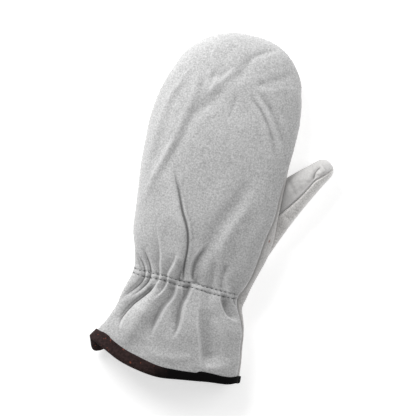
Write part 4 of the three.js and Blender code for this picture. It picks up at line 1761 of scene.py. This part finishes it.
class Wiring:
    """Short way to place nodes in a tree and join them."""

    def __init__(self, tree: bpy.types.NodeTree) -> None:
        """Keeps the tree."""
        self.tree = tree

    def put(self, socket: bpy.types.NodeSocket, value: object) -> None:
        """Joins a socket to another one, or sets its own value.

        Args:
            socket: The socket.
            value: Another node's output, or a plain value.
        """
        if isinstance(value, bpy.types.NodeSocket):
            self.tree.links.new(value, socket)
        else:
            socket.default_value = value

    def place(self) -> Output:
        """Places on the object, in metres from its origin."""
        return self.tree.nodes.new("ShaderNodeTexCoord").outputs["Object"]

    def attribute(self, name: str) -> Output:
        """Number stored for each vertex.

        Args:
            name: Name of the attribute.

        Returns:
            The number's output.
        """
        node = self.tree.nodes.new("ShaderNodeAttribute")
        node.attribute_name = name
        return node.outputs["Fac"]

    def noise(self, vector: Output, scale: object, detail: float, rough: float) -> Output:
        """Noise of about 0 to 1.

        Args:
            vector: Places.
            scale: Features per metre.
            detail: How many finer layers are added.
            rough: How strong each finer layer is.

        Returns:
            The noise's output.
        """
        node = self.tree.nodes.new("ShaderNodeTexNoise")
        self.put(node.inputs["Vector"], vector)
        self.put(node.inputs["Scale"], scale)
        node.inputs["Detail"].default_value = detail
        node.inputs["Roughness"].default_value = rough
        return node.outputs["Fac"]

    def math(self, kind: str, first: object, second: object = 0.0, third: object = 0.0) -> Output:
        """Sum, product or other step of numbers.

        Args:
            kind: The step, by Blender's name.
            first: First number.
            second: Second number.
            third: Third number, where the step has one.

        Returns:
            The result's output.
        """
        node = self.tree.nodes.new("ShaderNodeMath")
        node.operation = kind
        for socket, value in zip(node.inputs, (first, second, third)):
            self.put(socket, value)
        return node.outputs[0]

    def around_middle(self, noise: Output, weight: object, base: object) -> Output:
        """Adds a noise to a base, as (noise - 0.5) * weight."""
        return self.math("MULTIPLY_ADD", self.math("SUBTRACT", noise, 0.5), weight, base)

    def blend(self, share: object, first: object, second: object) -> Output:
        """Blend of two colours.

        Args:
            share: Share of the second colour.
            first: First colour.
            second: Second colour.

        Returns:
            The colour's output.
        """
        node = self.tree.nodes.new("ShaderNodeMix")
        node.data_type = "RGBA"
        self.put(node.inputs["Factor"], share)
        self.put(node.inputs[6], first)
        self.put(node.inputs[7], second)
        return node.outputs[2]

    def span(self, value: object, low: float, high: float, start: float = 0.0, end: float = 1.0) -> Output:
        """Maps a value from one range to another on a smooth step, held at both ends.

        Args:
            value: The value.
            low: Start of its range.
            high: End of its range.
            start: Result at the range's start.
            end: Result at its end.

        Returns:
            The result's output.
        """
        node = self.tree.nodes.new("ShaderNodeMapRange")
        node.interpolation_type = "SMOOTHSTEP"
        self.put(node.inputs["Value"], value)
        for label, number in (("From Min", low), ("From Max", high), ("To Min", start), ("To Max", end)):
            node.inputs[label].default_value = number
        return node.outputs["Result"]

    def relief(self, shader: bpy.types.Node, height: Output, strength: float, distance: float) -> None:
        """Gives a shader a fine relief.

        Args:
            shader: The shader.
            height: Output with the relief, from 0 to 1.
            strength: How strongly it shows.
            distance: Its full height in metres.
        """
        node = self.tree.nodes.new("ShaderNodeBump")
        node.inputs["Strength"].default_value = strength
        node.inputs["Distance"].default_value = distance
        self.put(node.inputs["Height"], height)
        self.put(shader.inputs["Normal"], node.outputs["Normal"])


def new_material(name: str) -> tuple[bpy.types.Material, Wiring, bpy.types.Node]:
    """Makes a material with a bare Principled shader.

    Args:
        name: Name of the material.

    Returns:
        The material, the wiring of its tree, and its shader.
    """
    material = bpy.data.materials.new(name)
    material.use_nodes = True
    tree = material.node_tree
    return material, Wiring(tree), tree.nodes["Principled BSDF"]


Colour = tuple[float, float, float, float]


def grey(level: float, warm: float = 0.0) -> Colour:
    """Linear colour of a grey, with a share of warmth in red and out of blue."""
    return (level * (1 + warm), level, level * (1 - warm), 1.0)


@dataclass(frozen=True)
class Nap:
    """Nap of split leather, shared by its finishes: noises in features per metre, and their weights.

    Three noises are summed: fibres of about 1.3 mm, tufts of 8 mm that lie one way or the other, and the
    broad tone of a hide at 50 mm. The bend of the surface lightens ridges, where the nap is rubbed, and
    darkens creases as painted shade, blended towards near black in the deepest ones. The roughness is its
    least and what the fibres add.
    """

    fibre_detail: float = 4.0
    fibre_rough: float = 0.68
    tuft: float = 125.0
    tuft_weight: float = 0.14
    broad: float = 20.0
    broad_weight: float = 0.24
    middle: float = 0.5
    wear_and_shade_weight: float = 0.5
    # Painted shade in creases: the range of the bend over which it grows, its greatest share and its
    # near-black colour.
    painted_crease_shade: Point = (-0.9, -0.1)
    painted_crease_share: float = 0.45
    painted_crease_colour: Colour = grey(0.1)
    tuft_relief: float = 0.12
    rough: Point = (0.84, 0.12)

    def group(self) -> bpy.types.NodeTree:
        """Makes the shader group that gives a colour, a height and a roughness from places, rubbed nap and
        painted shade.

        Returns:
            The group.
        """
        inputs = {
            "Place": Socket.VECTOR,
            "Wear_and_shade": Socket.NUMBER,
            "Light": Socket.COLOUR,
            "Dark": Socket.COLOUR,
            "Fibre": Socket.NUMBER,
            "Fuzz": Socket.NUMBER,
        }
        outputs = {"Colour": Socket.COLOUR, "Height": Socket.NUMBER, "Roughness": Socket.NUMBER}
        tree = new_group("nap", inputs, outputs)
        wires = Wiring(tree)
        given = tree.nodes["in"].outputs
        fibre = wires.noise(given["Place"], given["Fibre"], self.fibre_detail, self.fibre_rough)
        tuft = wires.noise(given["Place"], self.tuft, detail=3.0, rough=0.6)
        broad = wires.noise(given["Place"], self.broad, detail=2.0, rough=0.5)
        tone = wires.around_middle(fibre, given["Fuzz"], self.middle)
        tone = wires.around_middle(tuft, self.tuft_weight, tone)
        tone = wires.around_middle(broad, self.broad_weight, tone)
        # The bend lightens ridges, where the nap is rubbed, and darkens creases as painted shade.
        tone = wires.math("MULTIPLY_ADD", given["Wear_and_shade"], self.wear_and_shade_weight, tone)
        tone = wires.math("MINIMUM", wires.math("MAXIMUM", tone, 0.0), 1.0)
        colour = wires.blend(tone, given["Dark"], given["Light"])
        # Painted shade: the deepest creases are blended towards near black, where shadow falls in them.
        painted_crease_shade = wires.span(given["Wear_and_shade"], *self.painted_crease_shade, start=self.painted_crease_share, end=0.0)
        out = tree.nodes["out"].inputs
        wires.put(out["Colour"], wires.blend(painted_crease_shade, colour, self.painted_crease_colour))
        wires.put(out["Height"], wires.math("MULTIPLY_ADD", tuft, self.tuft_relief, fibre))
        wires.put(out["Roughness"], wires.math("MULTIPLY_ADD", fibre, self.rough[1], self.rough[0]))
        return tree


@dataclass(frozen=True)
class Mark:
    """A small stain: its middle measured from the wrist's, its two radii in millimetres, and its turn."""

    place: Point
    across: float
    along: float
    turn: float
    colour: Colour
    strength: float = 0.8
    edge: Point = (0.5, 1.3)

    def cover(self, wires: Wiring, place: Output) -> Output:
        """How far the stain covers each place: its strength inside, falling to nought over its edge.

        Args:
            wires: Wiring of the material.
            place: Places on the object.

        Returns:
            The share's output.
        """
        nodes = wires.tree.nodes
        mapping = nodes.new("ShaderNodeMapping")
        mapping.vector_type = "TEXTURE"
        wires.put(mapping.inputs["Vector"], place)
        x = (self.place[0] + WRIST[0] - MIDDLE[0]) * METRES
        y = (self.place[1] + WRIST[1] - MIDDLE[1]) * METRES
        mapping.inputs["Location"].default_value = (x, y, 0.0)
        mapping.inputs["Rotation"].default_value = (0.0, 0.0, self.turn)
        mapping.inputs["Scale"].default_value = (self.across * METRES, self.along * METRES, 1.0)
        length = nodes.new("ShaderNodeVectorMath")
        length.operation = "LENGTH"
        wires.put(length.inputs[0], mapping.outputs["Vector"])
        return wires.span(length.outputs["Value"], *self.edge, start=self.strength, end=0.0)


@dataclass(frozen=True)
class SuedeFinish:
    """Split leather with its nap up: pale, dry and soft, a little lighter where it is rubbed."""

    name: str
    light: Colour
    dark: Colour
    fibre: float = 760.0
    fuzz: float = 3.0
    relief: float = 0.00035
    relief_strength: float = 0.55
    specular: float = 0.18
    sheen: float = 0.5
    sheen_roughness: float = 0.55
    # Colour of the painted shade along the sharpest folds, the seams and the thumb's root.
    painted_shade: Colour = grey(0.09)
    mark: Mark | None = None

    def material(self, nap: bpy.types.NodeTree) -> bpy.types.Material:
        """Makes the material from the shared nap.

        Args:
            nap: The nap's group.

        Returns:
            The material.
        """
        material, wires, shader = new_material(self.name)
        place = wires.place()
        group = material.node_tree.nodes.new("ShaderNodeGroup")
        group.node_tree = nap
        for label, value in (
            ("Place", place),
            ("Wear_and_shade", wires.attribute("wear_and_shade")),
            ("Light", self.light),
            ("Dark", self.dark),
            ("Fibre", self.fibre),
            ("Fuzz", self.fuzz),
        ):
            wires.put(group.inputs[label], value)
        # Painted shade along the sharpest folds, the seams and the thumb's root is blended in here.
        colour = wires.blend(wires.attribute("painted_shade"), group.outputs["Colour"], self.painted_shade)
        if self.mark:
            colour = wires.blend(self.mark.cover(wires, place), colour, self.mark.colour)
        wires.put(shader.inputs["Base Color"], colour)
        wires.put(shader.inputs["Roughness"], group.outputs["Roughness"])
        shader.inputs["Specular IOR Level"].default_value = self.specular
        shader.inputs["Sheen Weight"].default_value = self.sheen
        shader.inputs["Sheen Roughness"].default_value = self.sheen_roughness
        wires.relief(shader, group.outputs["Height"], self.relief_strength, self.relief)
        return material


@dataclass(frozen=True)
class BindingFinish:
    """Thin dark leather: brown on the left, near black on the right, with rusty specks.

    Noises are in features per metre. The roughness is its least and what the grain adds.
    """

    name: str = "dark binding leather"
    left_brown: Colour = (0.045, 0.027, 0.026, 1.0)
    deep: Colour = (0.002, 0.0018, 0.002, 1.0)
    speck: Colour = (0.16, 0.05, 0.035, 1.0)
    grain: float = 520.0
    patches: float = 90.0
    specks: float = 420.0
    brown_edge_x: Point = (-0.034, -0.012)
    brown_edge_drift: float = 0.03
    grain_shows: Point = (0.3, 0.72)
    grain_least: float = 0.35
    speck_shows: Point = (0.71, 0.76)
    rough: Point = (0.62, 0.3)
    specular: float = 0.08
    relief: float = 0.0004
    relief_strength: float = 0.6

    def material(self) -> bpy.types.Material:
        """Makes the material: brown turns to near black across the mitt, and fine grain breaks it up.

        Returns:
            The material.
        """
        material, wires, shader = new_material(self.name)
        place = wires.place()
        parts = material.node_tree.nodes.new("ShaderNodeSeparateXYZ")
        wires.put(parts.inputs[0], place)
        grain = wires.noise(place, self.grain, detail=4.0, rough=0.7)
        patch = wires.noise(place, self.patches, detail=3.0, rough=0.6)
        edge = wires.around_middle(patch, self.brown_edge_drift, parts.outputs["X"])
        brownness = wires.span(edge, *self.brown_edge_x, start=1.0, end=0.0)
        tone = wires.math("MULTIPLY", brownness, wires.span(grain, *self.grain_shows, start=self.grain_least))
        colour = wires.blend(tone, self.deep, self.left_brown)
        fleck = wires.noise(place, self.specks, detail=1.0, rough=0.4)
        specks = wires.math("MULTIPLY", wires.span(fleck, *self.speck_shows), brownness)
        colour = wires.blend(specks, colour, self.speck)
        wires.put(shader.inputs["Base Color"], colour)
        wires.put(shader.inputs["Roughness"], wires.math("MULTIPLY_ADD", grain, self.rough[1], self.rough[0]))
        shader.inputs["Specular IOR Level"].default_value = self.specular
        wires.relief(shader, grain, self.relief_strength, self.relief)
        return material


@dataclass(frozen=True)
class ThreadFinish:
    """Dark grey sewing thread."""

    name: str = "dark sewing thread"
    light: Colour = (0.055, 0.057, 0.062, 1.0)
    dark: Colour = (0.02, 0.02, 0.023, 1.0)

    def material(self) -> bpy.types.Material:
        """Makes the material, with the twist as fine noise.

        Returns:
            The material.
        """
        material, wires, shader = new_material(self.name)
        twist = wires.noise(wires.place(), 1500.0, detail=2.0, rough=0.5)
        wires.put(shader.inputs["Base Color"], wires.blend(twist, self.dark, self.light))
        wires.put(shader.inputs["Roughness"], wires.math("MULTIPLY_ADD", twist, 0.2, 0.55))
        return material


@dataclass(frozen=True)
class FloorFinish:
    """Plain white studio floor."""

    name: str = "studio floor"
    level: float = 0.85
    unevenness: float = 0.01
    roughness: float = 0.9
    glow: float = 0.5

    def material(self) -> bpy.types.Material:
        """Makes the material, with the faintest unevenness.

        Returns:
            The material.
        """
        material, wires, shader = new_material(self.name)
        tone = wires.noise(wires.place(), 3.0, detail=2.0, rough=0.5)
        colour = wires.blend(tone, grey(self.level - self.unevenness), grey(self.level))
        wires.put(shader.inputs["Base Color"], colour)
        shader.inputs["Roughness"].default_value = self.roughness
        shader.inputs["Emission Color"].default_value = (1.0, 1.0, 1.0, 1.0)
        shader.inputs["Emission Strength"].default_value = self.glow
        return material


@dataclass
class Studio:
    """Floor, camera straight above, soft key light at the upper left, weak one opposite, pale surround.

    The camera aims at a place in metres across and along the frame. The floor is level to a distance, and
    dips beyond it.
    """

    camera_height: float = 3.416
    aim: Point = (-0.0111, -0.00125)
    turn: float = 13.0
    lens: float = 350.0
    sensor: float = 36.0
    clip: float = 0.05
    key_power: float = 13.0
    fill_power: float = 3.2
    fill_place: tuple[float, float, float] = (0.74, 0.52, 0.55)
    key_place: tuple[float, float, float] = (-0.7, 0.62, 0.57)
    light_size: float = 0.7
    surround: float = 0.37
    floor_half: float = 6.0
    floor_count: int = 41
    floor_level: float = 3.0
    floor_drop: float = 0.0002
    floor_dip: float = 0.02

    def camera(self) -> None:
        """Sets the camera straight above the mitt, turned so that the mitt leans to the right."""
        data = bpy.data.cameras.new("camera")
        data.lens = self.lens
        data.sensor_width = self.sensor
        data.clip_start = self.clip
        camera = bpy.data.objects.new("camera", data)
        camera.location = (*self.aim, self.camera_height)
        camera.rotation_euler = (0.0, 0.0, np.radians(self.turn))
        bpy.context.scene.collection.objects.link(camera)
        bpy.context.scene.camera = camera

    def floor(self, material: bpy.types.Material) -> None:
        """Lays the floor at the surface that the mitt lies on, as a wide grid that dips towards its rim.

        Args:
            material: The floor's material.
        """
        side = np.linspace(-self.floor_half, self.floor_half, self.floor_count)
        x, y = np.meshgrid(side, side)
        away = np.maximum(np.hypot(x, y) - self.floor_level, 0.0)
        place = np.stack([x, y, -self.floor_drop - self.floor_dip * away**2], axis=-1)
        mesh = bpy.data.meshes.new("floor")
        mesh.from_pydata(place.reshape(-1, 3), [], grid_faces(*x.shape).tolist())
        mesh.polygons.foreach_set("use_smooth", np.ones(len(mesh.polygons), dtype=bool))
        piece = bpy.data.objects.new("floor", mesh)
        piece.data.materials.append(material)
        bpy.context.scene.collection.objects.link(piece)
        piece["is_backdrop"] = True

    def light(self, name: str, place: tuple[float, float, float], power: float) -> None:
        """Places a square area light that faces the mitt.

        Args:
            name: Name of the light.
            place: Where it stands, in metres.
            power: Its power in watts.
        """
        data = bpy.data.lights.new(name, "AREA")
        data.size = self.light_size
        data.energy = power
        lamp = bpy.data.objects.new(name, data)
        lamp.location = place
        aim = -lamp.location.copy()
        lamp.rotation_euler = aim.to_track_quat("-Z", "Y").to_euler()
        bpy.context.scene.collection.objects.link(lamp)

    def build(self, material: bpy.types.Material) -> None:
        """Sets up the whole studio.

        Args:
            material: The floor's material.
        """
        self.camera()
        self.floor(material)
        self.light("key", self.key_place, self.key_power)
        self.light("fill", self.fill_place, self.fill_power)
        world = bpy.data.worlds.new("surround")
        world.use_nodes = True
        background = world.node_tree.nodes["Background"]
        background.inputs["Color"].default_value = (1.0, 1.0, 1.0, 1.0)
        background.inputs["Strength"].default_value = self.surround
        bpy.context.scene.world = world
        bpy.context.scene.view_settings.view_transform = "Standard"


BACK_FINISH = SuedeFinish("back split leather", grey(0.58), grey(0.3))
PALM_FINISH = SuedeFinish(
    "palm split leather",
    grey(0.56, 0.02),
    grey(0.28, 0.025),
    mark=Mark((60.2, 80.0), 0.7, 1.5, -0.25, (0.2, 0.07, 0.045, 1.0)),
)
THUMB_INNER_FINISH = SuedeFinish("thumb inner split leather", grey(0.63, 0.014), grey(0.41, 0.015), fuzz=1.6)
# The outer piece's lighter grey is partly its own warmer leather and partly painted light: it is set brighter
# to stand in for the light that its fuzz and the white surroundings throw back onto its shaded side.
THUMB_OUTER_FINISH = SuedeFinish("thumb outer split leather", grey(0.8, 0.02), grey(0.42, 0.03), sheen=0.9)


def corners() -> list[list[float]]:
    """Lowest and highest corner of what is shown, as plain lists."""
    return [[float(number) for number in corner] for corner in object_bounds()]


def main() -> None:
    """Loads the frame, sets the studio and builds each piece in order."""
    logging.basicConfig(level=logging.INFO, format="%(name)s: %(message)s")
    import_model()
    Studio().build(FloorFinish().material())
    nap = Nap().group()
    back = FoldedBack(HAND, BACK_FOLDS)
    BackPanel(back, BACK_FINISH.material(nap)).dress()
    PalmPanel(HAND, THUMB, PALM_FINISH.material(nap)).dress()
    Thumb(THUMB, HAND).dress(THUMB_INNER_FINISH.material(nap), THUMB_OUTER_FINISH.material(nap))
    CuffBinding(back, BindingFinish().material()).dress()
    WristStitching(back, ThreadFinish().material()).dress()


if __name__ == "__main__":
    main()
